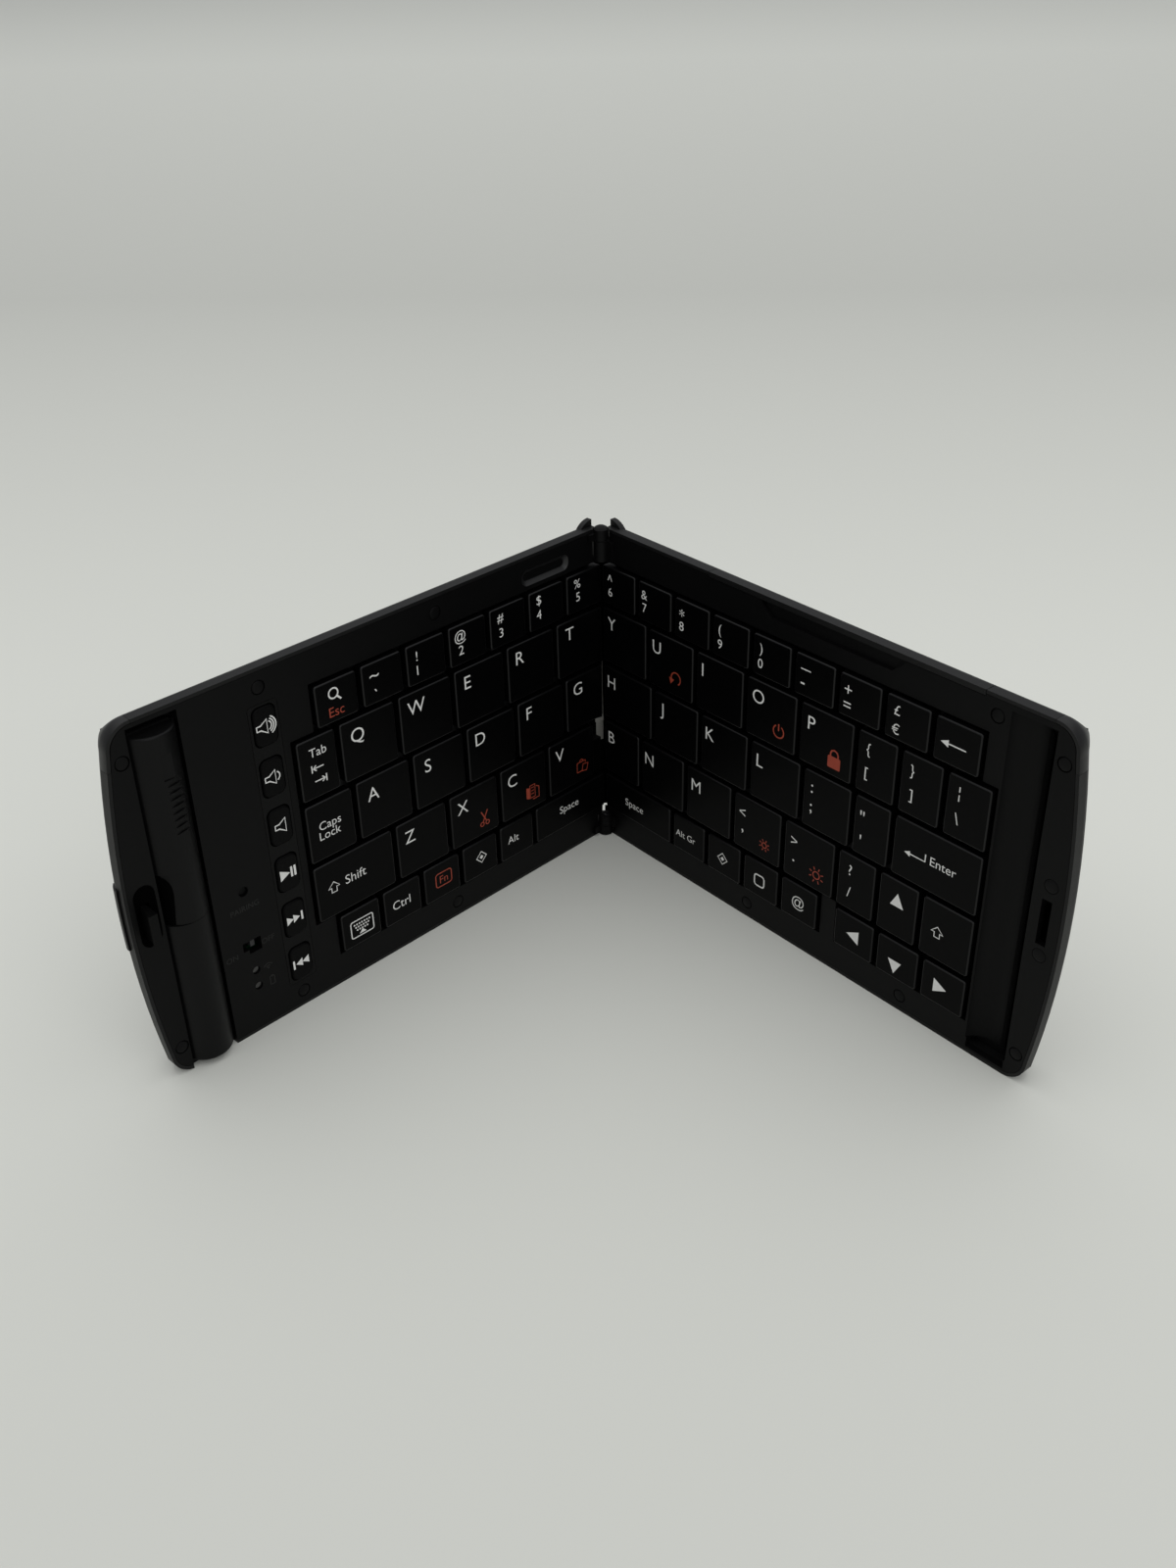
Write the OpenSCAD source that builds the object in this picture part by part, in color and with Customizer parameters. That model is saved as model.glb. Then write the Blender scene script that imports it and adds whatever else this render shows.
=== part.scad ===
// Folding pocket keyboard: two key panels joined by an upright hinge, standing open as a V
// on their long front edges. A round battery tube lies along the outer end of the left half
// and drops into a trough of the right half when the keyboard is shut.
//
// Each half is drawn lying flat: X runs outward from the hinge axis, Y from the front edge
// to the back edge, and Z towards the typist, with Z = 0 on the hinge axis. left_half() and
// right_half() then stand it up and swing it to its place in the V.

/* [Case] */
// Angle between the two key faces, shut is 0 and flat is 180
opening_angle = 85.4; // [30:0.1:180]
// Thickness of one half from deck to back
half_thickness = 9.2; // [9.2:0.1:12]
// Deck in front of the lowest row of keys
front_margin = 9; // [8:0.5:14]
// Deck behind the number row
back_margin = 9.6; // [9:0.1:16]
// Strip of deck outside the battery tube
end_strip = 9.1; // [8.5:0.1:14]
// Radius of the bowed outer end
end_radius = 275; // [150:5:600]
// Radius of the outer corners seen from the typist
corner_radius = 6.5; // [4:0.5:8]
// How far the back slopes in along the long edges
side_bevel = 6.5; // [3:0.5:7]
// How far the back slopes in at the outer end
end_bevel = 5; // [3:0.5:6]
// Thickness of the case walls
wall = 1.1; // [0.9:0.1:1.6]
// Thickness of the back panel
floor_t = 0.8; // [0.6:0.1:1.2]
// Width of the rim that stands round the deck
rim = 0.9; // [0.7:0.1:1.2]
// Thickness of the deck plate
deck_t = 1.8; // [1.5:0.1:2.2]
// Radius of the rubber feet
foot_r = 3.5; // [2.5:0.1:4]
// Height of the rubber feet
foot_h = 1.3; // [0.8:0.1:2]
// Hinge axis to the inner feet
foot_in = 12; // [8:0.5:20]
// Long edges to the feet
foot_edge = 14; // [11:0.5:20]

/* [Keys] */
// Pitch of the letter keys along a row
letter_w = 18.35; // [17:0.05:19]
// Pitch of the letter rows
letter_row = 18; // [16:0.5:19]
// Depth of the number row and of the front row
small_row = 12.7; // [11:0.1:15]
// Pitch of the number keys on the left half
left_number_w = 13.9; // [12:0.1:14.5]
// Pitch of the number keys on the right half
right_number_w = 14.15; // [12:0.05:14.5]
// Pitch of the three arrow keys in the front row
arrow_w = 14.2; // [12:0.1:15]
// Gap between neighbouring key caps
key_gap = 1.6; // [1:0.1:2.4]
// Height of the key caps above the deck
key_proud = 1; // [0.6:0.1:1.4]
// Height of the hinge axis above the key caps
key_clearance = 0.2; // [0.15:0.05:0.6]
// Thickness of a key cap
cap_t = 2.4; // [2:0.1:2.8]
// Chamfer round the top of a key cap
cap_chamfer = 0.45; // [0.2:0.05:0.7]
// Travel of a key
key_travel = 1.1; // [0.8:0.1:1.3]
// Outer edge of the left key well, from the hinge axis
left_well = 104.2; // [102:0.1:106]
// Outer edge of the right key well, from the hinge axis
right_well = 131.5; // [130:0.1:136]

/* [Media keys] */
// Width of the media key strip
strip_w = 8.3; // [7.6:0.1:10]
// Length of the media key strip
strip_l = 81; // [74:0.5:90]
// Size of a media key across the strip
media_w = 6.2; // [5:0.1:6.6]
// Size of a media key along the strip
media_l = 10.1; // [8:0.1:11.5]

/* [Battery] */
// Outer radius of the battery tube
tube_r = 6.4; // [6.3:0.1:6.6]
// Wall of the battery tube
tube_wall = 0.8; // [0.7:0.1:0.9]
// Height of the tube above the deck
tube_proud = 3; // [2:0.1:3.4]
// Radius of one cell
cell_r = 5.2; // [5:0.05:5.25]
// Length of one cell without its nub
cell_l = 43.5; // [42:0.5:43.5]
// Length of the fixed front part of the tube
fixed_tube_l = 43.2; // [36:0.1:50]
// Slide of the battery cover towards the back edge
cover_travel = 2; // [1.5:0.1:2]

/* [Hinge and latch] */
// Radius of the hinge knuckles
knuckle_r = 2.1; // [1.8:0.1:2.4]
// Radius of the hinge pins
pin_r = 0.8; // [0.6:0.05:1]
// Length of one knuckle
knuckle_l = 3; // [2.4:0.1:3.4]
// Height of the stop ribs above the back edge
stop_h = 1.8; // [1:0.1:2.5]
// Radius of the stop ribs
stop_r = 5.5; // [4.5:0.1:7]
// Length of the latch hook along the end strip
hook_l = 8.9; // [6:0.1:10]
// Travel of the release button
release_travel = 0.8; // [0.7:0.1:1.2]

/* [Phone stand] */
// Hinge axis to the inner end of the phone stand
stand_start = 40; // [30:1:50]
// Length of the phone stand
stand_l = 85; // [60:1:85]
// Travel of the phone stand
stand_travel = 30; // [20:1:34]

/* [Hidden] */

$fn = 48;
slip = 0.1;            // gap between parts that slide together or drop in
run = 0.25;            // gap round moving pieces
touch = 0.15;          // half the gap between the two halves beside the split
pad = 5;               // how far a cutting shape runs past what it cuts

swing = (180 - opening_angle) / 2;
case_black = [0.09, 0.09, 0.095];
key_black = [0.06, 0.06, 0.065];

// Heights of the layers, from the hinge axis down into the case
cap_top = -key_clearance;
deck_z = cap_top - key_proud;
deck_under = deck_z - deck_t;
cap_bottom = cap_top - cap_t;
plate_top = cap_bottom - key_travel - 0.9;
plate_t = 1;
plate_under = plate_top - plate_t;
stem_end = plate_under - 0.5;
sheet_top = stem_end - key_travel - run;
sheet_t = 0.6;
back_z = deck_z - half_thickness;
floor_z = back_z + floor_t;
tray_edge = touch * 2;
side_flat = 2.7;       // depth of the flat sides below the deck

// Sizes in plan
row_y = [
    front_margin + small_row + 3 * letter_row,
    front_margin + small_row + 2 * letter_row,
    front_margin + small_row + letter_row,
    front_margin + small_row,
    front_margin
];
row_h = [small_row, letter_row, letter_row, letter_row, small_row];
keys_back = row_y[0] + row_h[0];
strip_front_y = 7.9;   // front end of the media strip
screw_edge = 5;        // back row of screws to the back edge
screw_gap = 4;         // and at least this far behind the media strip
panel_depth = max(keys_back + back_margin, strip_front_y + strip_l + screw_gap + screw_edge);
well_wall = 0.6;
trough_half = 5.8;
half_length = right_well + well_wall + 2 * trough_half + end_strip;
tube_x = half_length - end_strip - trough_half;
tube_z = deck_z + tube_proud - tube_r;
slot_half = sqrt(pow(tube_r, 2) - pow(deck_under - tube_z, 2)) + touch;
slot_back = panel_depth - 2;

// Key cells of each row, from the split outward; the last cell fills the row to the well edge
left_first = [left_number_w, 18, 15.2, 22.8, 28.6];
notch_w = 3.4;         // the low row of the left half starts this far from the split
right_first = [14, 18.3, 20.5, 15.3, 28.5];
bracket_w = 13.2;
colon_w = 16.8;
quote_w = 12.4;
query_w = 13.3;
modifier_w = 13.9;
left_rows = [
    [for (i = [0:6]) left_number_w],
    fill_row([left_first[1], letter_w, letter_w, letter_w, letter_w], left_well),
    fill_row([left_first[2], letter_w, letter_w, letter_w, letter_w], left_well),
    fill_row([notch_w, left_first[3] - notch_w, letter_w, letter_w, letter_w], left_well),
    [left_first[4], modifier_w, modifier_w, modifier_w, modifier_w, modifier_w]
];
right_rows = [
    [for (i = [0:8]) i == 0 ? right_first[0] : right_number_w],
    fill_row([right_first[1], letter_w, letter_w, letter_w, letter_w, bracket_w, bracket_w],
        right_well),
    fill_row([right_first[2], letter_w, letter_w, letter_w, colon_w, quote_w], right_well),
    fill_row([right_first[3], letter_w, letter_w, letter_w, letter_w, query_w, query_w],
        right_well),
    [right_first[4], modifier_w, modifier_w, modifier_w, modifier_w,
        right_well - right_first[4] - 4 * modifier_w - 3 * arrow_w, arrow_w, arrow_w, arrow_w]
];
deck_bar = 5;          // cell of the right front row that is deck and not a key

function sum(list, n) = n <= 0 ? 0 : list[n - 1] + sum(list, n - 1);
function fill_row(cells, edge) = concat(cells, [edge - sum(cells, len(cells))]);

// Screws are hidden by round plugs
plug_r = 1.8;
plug_t = 0.6;
plug_ring = 0.12;      // gap round a plug
screw_front = front_margin / 2;
screw_back = panel_depth - screw_edge;
strip_x = half_length - 6.5;
strip_front = 8.2;
strip_back = panel_depth - 9.4;
left_screws = [
    [57.8, screw_back], [57.8, screw_front], [left_well + 6.3, screw_back],
    [left_well + 6.3, screw_front], [strip_x, strip_front], [strip_x, strip_back]
];
right_screws = [
    [right_well - 2.8, screw_back], [57.8, screw_front], [right_well - 20, screw_front],
    [strip_x, strip_front], [strip_x, strip_back]
];

// Hinge: at each end a left knuckle lies outside a right one
pin_slip = 0.06;
knuckle_gap = 0.2;
front_left = 0.3;
front_right = front_left + knuckle_l + knuckle_gap;
back_left = panel_depth - knuckle_l;
back_right_l = 5.8;
back_right = back_left - knuckle_gap - back_right_l;
cap_h = 0.9;

// Battery tube
tube_bore = tube_r - tube_wall;
tube_split = deck_under;
tube_end = 0.3;
tube_end_r = 3.6;
spring_l = 0.9;
cell_start = tube_end + 1.3 + 0.2 + spring_l;
grooves = 8;
groove_pitch = 1.78;
grip_y = 67.6;
dent_l = 14.3;
tube_back_r = 2;
nub_l = 0.8;
cover_end = cell_start + 2 * (cell_l + nub_l) + 2;

// Trough of the right half
trough_depth = 3.6;
trough_front = 4.4;
pit_l = trough_front - rim - slip - 0.6;
trough_back = slot_back - 0.4;
trough_ramp = 30;

// Media strip and controls
strip_left = left_well + 1.9;
media_x = strip_left + strip_w / 2;
media_end = 0.95;
media_pitch = (strip_l - media_l - 2 * media_end) / 5;
media_y = strip_front_y + media_end + media_l / 2;
bezel_t = 1;
media_proud = 0.5;
control_x = (strip_left + strip_w + tube_x - slot_half) / 2;
pairing_y = 42.3;
switch_y = 25.8;
light_y = [18.3, 13.4];
board_top = plate_under - 1;
board_t = 1;
board_w = 12;
board_y = side_in(deck_z - floor_z) + wall + slip;
board_l = 51.5;

// Latch
hook_y = 42.3;
hook_x = strip_x + 1.1;
hook_w = 1.4;
hook_reach = 2.8;
lip_w = 0.7;
lip_t = 0.7;
strike_edge = hook_x + hook_w + 0.2;
dish_front = 40;
dish_back = 57;
dish_half = 2.8;
dish_r = 3.6;
button_y = 40.5;
button_l = 16.8;
button_top = deck_under - 0.2;
button_h = 3.4;
button_proud = 0.5;

// Phone stand
stand_bar = 1.4;
stand_end = stand_start + stand_l;
stand_lip_y = panel_depth - side_bevel + 0.9;
stand_lip_z = plate_under - 0.4;
stand_plate_top = sheet_top - sheet_t - 0.3;
stand_plate_l = 38;
stand_plate_t = 0.8;

// Corner caps
corner_w = 10.1;
corner_d = 10.4;
corner_deep = 6.8;

// ---------------------------------------------------------------- outline and case body

function arc(cx, cy, r, a0, a1, n, first = 0, last = 0) =
    [for (i = [first:n - last]) let (a = a0 + (a1 - a0) * i / n) [cx + r * cos(a), cy + r * sin(a)]];

// Outline of a half, drawn in by end_in at the outer end and side_in along the long edges
function outline(end_in, side_in, inner = tray_edge) =
    let (r = max(corner_radius - (end_in + side_in) / 2, 1.5),
         big = end_radius - end_in,
         cx = half_length - end_radius,
         half = panel_depth / 2,
         rise = half - side_in - r,
         ux = cx + sqrt(pow(big - r, 2) - pow(rise, 2)),
         turn = atan2(rise, ux - cx))
    concat(
        [[inner, side_in]],
        arc(ux, side_in + r, r, -90, -turn, 10),
        arc(cx, half, big, -turn, turn, 14, 1, 1),
        arc(ux, panel_depth - side_in - r, r, turn, 90, 10),
        [[inner, panel_depth - side_in]]
    );

function side_in(depth) = depth <= side_flat ? 0 :
    side_bevel * pow((depth - side_flat) / (half_thickness - side_flat), 1.5);
function end_in(depth) = depth <= side_flat ? 0 :
    end_bevel * pow((depth - side_flat) / (half_thickness - side_flat), 1.5);

module slab(end_inset, side_inset, bottom, top, inner = tray_edge) {
    translate([0, 0, bottom])
        linear_extrude(top - bottom) polygon(outline(end_inset, side_inset, inner));
}

// Outer form of a half: flat-sided by the deck, drawn in towards the back
module case_body() {
    steps = 8;
    levels = [for (i = [0:steps]) side_flat + (half_thickness - side_flat) * i / steps];
    intersection() {
        slab(0, 0, back_z, deck_z);
        translate([-pad, 0, 0]) rotate([90, 0, 90]) linear_extrude(half_length + 2 * pad)
            polygon(concat(
                [[0, deck_z + pad]],
                [for (d = levels) [side_in(d), deck_z - d]],
                [for (i = [steps:-1:0]) [panel_depth - side_in(levels[i]), deck_z - levels[i]]],
                [[panel_depth, deck_z + pad]]));
        translate([half_length - end_radius, panel_depth / 2, back_z]) rotate([0, 0, 180])
            rotate_extrude($fn = 720) polygon(concat(
                [[0, half_thickness + pad], [end_radius, half_thickness + pad]],
                [for (d = levels) [end_radius - end_in(d), half_thickness - d]],
                [[0, 0]]));
    }
}

// Hollow case with a ledge for the deck and a lower ledge for the key plate
module case_blank() {
    lower = floor_z;
    difference() {
        case_body();
        slab(rim, rim, deck_under, pad, -pad);
        slab(rim + wall, side_in(deck_z - plate_under) + wall, plate_under, pad,
            tray_edge + wall);
        slab(end_in(deck_z - lower) + wall, side_in(deck_z - lower) + wall, lower, pad,
            tray_edge + wall);
        translate([-pad, front_margin - key_gap / 2, plate_top + 0.3])
            cube([2 * pad, keys_back - front_margin + key_gap, pad]);
    }
}

module corner_zone(grow) {
    translate([half_length - corner_w - grow, panel_depth - corner_d - grow,
        deck_z - corner_deep - grow])
        cube([corner_w + pad, corner_d + pad, corner_deep + pad]);
}

module corner_cap() {
    color("#2a2a2c") intersection() {
        case_blank();
        corner_zone(0);
    }
}

module left_corner_cap() {
    left_half() color("#2a2a2c") difference() {
        corner_cap();
        tube_room();
    }
}

// Quarter-round rib that meets its twin when the keyboard lies flat
module stop_rib() {
    thick = 1.6;
    translate([0, 0, deck_z - 2 - thick]) intersection() {
        translate([tray_edge, panel_depth + stop_h - stop_r, 0])
            cylinder(r = stop_r, h = thick);
        translate([tray_edge, panel_depth - 1, 0]) cube([stop_r, stop_h + 1, thick]);
    }
}

// ---------------------------------------------------------------- shared key parts

module round_rect(w, l, r) {
    translate([r - w / 2, -l / 2]) square([w - 2 * r, l]);
    translate([-w / 2, r - l / 2]) square([w, l - 2 * r]);
    for (x = [-1, 1], y = [-1, 1])
        translate([x * (w / 2 - r), y * (l / 2 - r)]) circle(r = r);
}

// Trapezoid across a cap: full width at the skirt, drawn in by the chamfer at the top
module cap_profile(w) {
    polygon([[-w / 2, 0], [w / 2, 0], [w / 2, cap_t - cap_chamfer],
        [w / 2 - cap_chamfer, cap_t], [cap_chamfer - w / 2, cap_t],
        [-w / 2, cap_t - cap_chamfer]]);
}

module cap_block(w, l) {
    intersection() {
        translate([0, l / 2, 0]) rotate([90, 0, 0]) linear_extrude(l) cap_profile(w);
        translate([-w / 2, 0, 0]) rotate([90, 0, 90]) linear_extrude(w) cap_profile(l);
    }
}

stem_w = 3;
wide_key = 22;
function cell_start_x(rows, row, i) = sum(rows[row], i);
function stem_offsets(w) = w > wide_key ? [-w / 4, w / 4] : [0];
function cell_mid(rows, row, i) = cell_start_x(rows, row, i) + rows[row][i] / 2;

// One key: the cap stands on one square stem, or on two where it is wide
module key(rows, row, i) {
    inner = i == 0 ? touch : key_gap / 2;
    start = cell_start_x(rows, row, i) + inner;
    w = rows[row][i] - inner - key_gap / 2;
    l = row_h[row] - key_gap;
    translate([start + w / 2, row_y[row] + row_h[row] / 2, cap_bottom]) cap_block(w, l);
    for (dx = stem_offsets(rows[row][i]))
        translate([cell_mid(rows, row, i) + dx - stem_w / 2,
            row_y[row] + row_h[row] / 2 - stem_w / 2, stem_end])
            cube([stem_w, stem_w, cap_bottom - stem_end]);
}

module keys(rows, row, first, last) {
    color(key_black) for (i = [first:last]) key(rows, row, i);
}

module stem_hole(x, y) {
    translate([x - stem_w / 2 - run, y - stem_w / 2 - run, plate_under - 1])
        cube([stem_w + 2 * run, stem_w + 2 * run, plate_t + 2]);
}

module stem_holes(rows, skip = -1) {
    for (row = [0:4], i = [0:len(rows[row]) - 1])
        if (!(row == 4 && i == skip) && rows[row][i] > 2 * stem_w)
            for (dx = stem_offsets(rows[row][i]))
                stem_hole(cell_mid(rows, row, i) + dx, row_y[row] + row_h[row] / 2);
}

// Opening of the deck over all keys; a skipped cell of the front row stays deck
module key_well(rows, skip = -1) {
    for (row = [0:4]) {
        cells = rows[row];
        translate([-pad, row_y[row], -2 * pad])
            cube([pad + sum(cells, len(cells)), row_h[row] + (row > 0 ? 0.01 : 0), 3 * pad]);
    }
}

module key_sheet(width) {
    side = side_in(deck_z - floor_z) + wall + 0.2;
    translate([tray_edge + wall + slip, side, sheet_top - sheet_t])
        cube([width - tray_edge - wall - slip, panel_depth - 2 * side, sheet_t]);
}

module sheet_posts(points) {
    for (p = points) translate([p[0], p[1], floor_z - 0.2])
        cylinder(r = 1.6, h = sheet_top - sheet_t - floor_z + 0.2);
}

plate_edge = side_in(deck_z - plate_under) + wall + slip;
module key_plate(width) {
    inner = tray_edge + wall + slip;
    translate([inner, plate_edge, plate_under])
        cube([width - inner, panel_depth - 2 * plate_edge, plate_t]);
}

// ---------------------------------------------------------------- hinge

module knuckle(start, length) {
    translate([0, start + length, 0]) rotate([90, 0, 0]) cylinder(r = knuckle_r, h = length);
}

module knuckle_arm(start, length) {
    translate([0, start, deck_under]) cube([knuckle_r + 2, length, -deck_under - 0.2]);
}

module knuckle_room(start, length) {
    translate([0, start + length + knuckle_gap, 0]) rotate([90, 0, 0])
        cylinder(r = knuckle_r + run, h = length + 2 * knuckle_gap);
}

// Room in both cases for the four knuckles
module hinge_room() {
    knuckle_room(front_left, 2 * knuckle_l + knuckle_gap);
    knuckle_room(back_right, back_right_l + knuckle_gap + knuckle_l + cap_h);
}

module pin_bore(start, length, slip_r) {
    translate([0, start + length, 0]) rotate([90, 0, 0])
        cylinder(r = pin_r + slip_r, h = length);
}

// Low round cap that closes the hinge at the back edge
module hinge_cap() {
    ball = (pow(knuckle_r, 2) + pow(cap_h, 2)) / (2 * cap_h);
    translate([0, panel_depth, 0]) rotate([-90, 0, 0]) intersection() {
        translate([0, 0, cap_h - ball]) sphere(r = ball, $fn = 96);
        cylinder(r = knuckle_r, h = cap_h + 1);
    }
}

module hinge_pins() {
    left_half() color("silver") {
        pin_bore(front_left + 0.6, 2 * knuckle_l + knuckle_gap - 0.8, 0);
        pin_bore(back_right + 0.2, back_right_l + knuckle_gap + knuckle_l - 0.8, 0);
    }
}

// ---------------------------------------------------------------- left half

// What a rounding of radius f takes off the corner of a profile
module corner_off(f) {
    difference() {
        square([f + 1, f + 1]);
        circle(r = f);
    }
}

// Solid of revolution on the axis of the battery tube, rounded at its front and back ends
module tube_form(r, start, stop, front = 0, back = 0) {
    translate([tube_x, start, tube_z]) rotate([-90, 0, 0]) rotate_extrude() difference() {
        square([r, stop - start]);
        if (back > 0) translate([r - back, stop - start - back]) corner_off(back);
        if (front > 0) translate([r - front, front]) mirror([0, 1]) corner_off(front);
    }
}

module left_base() {
    bulge_r = tube_r + slip + floor_t;
    left_half() color(case_black) difference() {
        union() {
            case_blank();
            tube_bed(bulge_r);
            notch_block();
            stop_rib();
            sheet_posts([[12, 14], [60, 14], [100, 14], [12, 50], [60, 50], [100, 50],
                [12, 84], [60, 84], [100, 84]]);
            for (y = [board_y + 3, board_y + board_l - 7])
                translate([control_x - 3, y, floor_z - 0.2])
                cube([6, 4, board_top - board_t - floor_z + 0.2]);
        }
        corner_zone(0.08);
        tube_room();
        hinge_room();
        translate([tube_x - slot_half, -pad, deck_under])
            cube([2 * slot_half, 2 * pad, 2 * pad]);
        button_room();
    }
}

// Filler in the case beside the short low row, with the rest of that end left open
module notch_block() {
    low = plate_top + 0.3;
    length = 10.5;
    translate([0, row_y[3] + key_gap / 2 + length, 0]) rotate([90, 0, 0])
        linear_extrude(length) polygon([[tray_edge, low - 0.3], [tray_edge + wall, low - 0.3],
            [tray_edge + wall, low], [notch_w, low], [notch_w, deck_z], [tray_edge, deck_z]]);
}

module tube_room() {
    tube_form(tube_r + slip, tube_end + 1.2, cover_end + 0.7, 0.9, tube_back_r + slip);
    intersection() {
        tube_form(tube_r + slip, cover_end, slot_back);
        translate([tube_x - slot_half, 0, deck_under - 1.6])
            cube([2 * slot_half, panel_depth, pad]);
    }
}

// Half-round bed under the tube, showing as a low bulge on the back
module tube_bed(bulge_r) {
    intersection() {
        tube_form(bulge_r, tube_end, cover_end + 0.7 + floor_t, 3, tube_back_r + slip + floor_t);
        translate([tube_x - bulge_r, 0, back_z - 2])
            cube([2 * bulge_r, panel_depth, deck_under - back_z + 2]);
    }
}

module button_room() {
    translate([half_length - 6, button_y - 0.2, button_top - button_h - 0.2])
        cube([12, button_l + 0.4, button_h + 0.4]);
}

module deck_blank(rows, skip, screws) {
    difference() {
        slab(rim + slip, rim + slip, deck_under, deck_z);
        difference() {
            key_well(rows);
            if (skip >= 0)
                translate([cell_start_x(rows, 4, skip), row_y[4] - 1, -2 * pad])
                    cube([rows[4][skip], row_h[4] + 1, 3 * pad]);
        }
        for (s = screws) translate([s[0], s[1], deck_z - plug_t])
            cylinder(r = plug_r, h = 1);
    }
}

module plugs(screws) {
    color("#1c1c1e") for (s = screws) translate([s[0], s[1], deck_z - plug_t])
        cylinder(r = plug_r - plug_ring, h = plug_t);
}

module deck_bosses(points) {
    for (p = points) translate([p[0], p[1], plate_top])
        cylinder(r = 1.6, h = deck_under - plate_top + 0.2);
}

module left_deck() {
    left_half() color(case_black) difference() {
        union() {
            deck_blank(left_rows, -1, left_screws);
            deck_bosses([[57.8, screw_back], [57.8, screw_front]]);
            knuckle(front_left, knuckle_l);
            knuckle_arm(rim + slip, front_left + knuckle_l - rim - slip);
            knuckle(back_left, knuckle_l);
            knuckle_arm(back_left, knuckle_l - rim - slip);
            hinge_cap();
        }
        pin_bore(front_left + 0.5, knuckle_l, 0.02);
        pin_bore(back_left - 1, knuckle_l + 0.5, 0.02);
        knuckle_room(front_right, knuckle_l);
        knuckle_room(back_right, back_right_l);
        // slot of the battery tube
        translate([tube_x - slot_half, -pad, -2 * pad])
            cube([2 * slot_half, slot_back + pad, 3 * pad]);
        // media strip
        translate([media_x, strip_front_y + strip_l / 2, deck_z - bezel_t])
            linear_extrude(pad) round_rect(strip_w, strip_l, 1);
        media_openings(0.3);
        // controls
        translate([control_x, pairing_y, -2 * pad]) cylinder(r = 1.35, h = 3 * pad);
        for (y = light_y) translate([control_x, y, -2 * pad]) cylinder(r = 1.1, h = 3 * pad);
        switch_opening();
        // finger recess behind the number row
        translate([19.8, keys_back + 3.5, deck_z - 0.9])
            linear_extrude(pad) round_rect(17, 4.6, 2);
        // dished recess round the latch hook and the slot that the hook slides in
        round_end_bar(hook_x + 0.4, deck_z + sqrt(pow(dish_r, 2) - pow(dish_half, 2)), dish_r,
            dish_front - dish_r + dish_half, dish_back + dish_r - dish_half);
        translate([hook_x - release_travel - run, hook_y - run, -2 * pad])
            cube([hook_w + release_travel + 2 * run, hook_l + 2 * run, 3 * pad]);
    }
}

// Bar along Y with half-ball ends
module round_end_bar(x, z, r, start, stop) {
    translate([x, start, z]) rotate([-90, 0, 0]) rotate_extrude() difference() {
        square([r, stop - start]);
        translate([0, stop - start - r]) corner_off(r);
        translate([0, r]) mirror([0, 1]) corner_off(r);
    }
}

module media_openings(grow) {
    for (k = [0:5]) translate([media_x, media_y + k * media_pitch, -2 * pad])
        linear_extrude(3 * pad)
            round_rect(media_w + 2 * grow, media_l + 2 * grow, 1.9);
}

module media_bezel() {
    left_half() color("#161618") difference() {
        translate([media_x, strip_front_y + strip_l / 2, deck_z - bezel_t])
            linear_extrude(bezel_t)
                round_rect(strip_w - 2 * slip, strip_l - 2 * slip, 0.9);
        media_openings(run);
    }
}

// k counts the media keys from the front edge
module media_key(k) {
    low = deck_z + media_proud - cap_t + 0.5;
    y = media_y + k * media_pitch;
    left_half() color(key_black) {
        translate([media_x, y, low]) linear_extrude(deck_z + media_proud - low)
            round_rect(media_w, media_l, 1.8);
        translate([media_x - stem_w / 2, y - stem_w / 2, stem_end])
            cube([stem_w, stem_w, low - stem_end]);
    }
}

module left_key_plate() {
    left_half() color("#3a3c40") difference() {
        key_plate(strip_left + strip_w + 0.6);
        stem_holes(left_rows);
        for (k = [0:5]) stem_hole(media_x, media_y + k * media_pitch);
    }
}

module switch_opening() {
    translate([control_x - 2.6, switch_y - 1.9, -2 * pad]) cube([3.6, 3.8, 3 * pad]);
    translate([control_x - 0.4, switch_y - 0.6, -2 * pad]) cube([3, 2.5, 3 * pad]);
}

module control_board() {
    left_half() color("darkgreen") {
        translate([control_x - board_w / 2, board_y, board_top - board_t])
            cube([board_w, board_l, board_t]);
        translate([control_x - 3, 30, board_top]) cube([6, 6, 1]);
        translate([control_x - 1.7, pairing_y - 1.7, board_top])
            cube([3.4, 3.4, 1.2]);
    }
}

module switch_body() {
    left_half() color("gray")
        translate([control_x - 3.5, switch_y - 1.7, board_top])
            cube([7, 3.4, 2.2]);
}

module switch_knob() {
    base_z = board_top + 2.2;
    left_half() color("#d0d0d0")
        translate([control_x - 0.4 - 0.6, switch_y - 0.3, base_z])
            cube([1.2, 1.9, deck_z - 0.6 - base_z]);
}

module pairing_button() {
    low = board_top + 1.2 + 0.45;
    left_half() color("#202022") translate([control_x, pairing_y, low])
        cylinder(r = 1.35 - run, h = deck_z - 0.7 - low);
}

module status_lights() {
    left_half() color("#7a8a7a") for (y = light_y)
        translate([control_x, y, board_top]) cylinder(r = 0.95, h = deck_z - 0.5 - board_top);
}

module tube_half(start, stop, above) {
    intersection() {
        children();
        translate([tube_x - 2 * tube_r, start, above ? tube_split + slip : -5 * pad])
            cube([4 * tube_r, stop - start, above ? 5 * pad : 5 * pad + tube_split]);
    }
}

// Fixed front part, closed at the front edge, and the open cradle under the cover
module battery_tube() {
    left_half() color(case_black) difference() {
        union() {
            tube_form(tube_r, tube_end + 1.3, fixed_tube_l, 1);
            tube_half(0, 5, true) tube_form(tube_r, tube_end, 5, tube_end_r);
            tube_half(fixed_tube_l - 1, 2 * panel_depth, false)
                tube_form(tube_r, fixed_tube_l - 2, cover_end + 0.6, 0, tube_back_r);
        }
        tube_form(tube_bore, cell_start - spring_l, cover_end - 0.6);
    }
}

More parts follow.
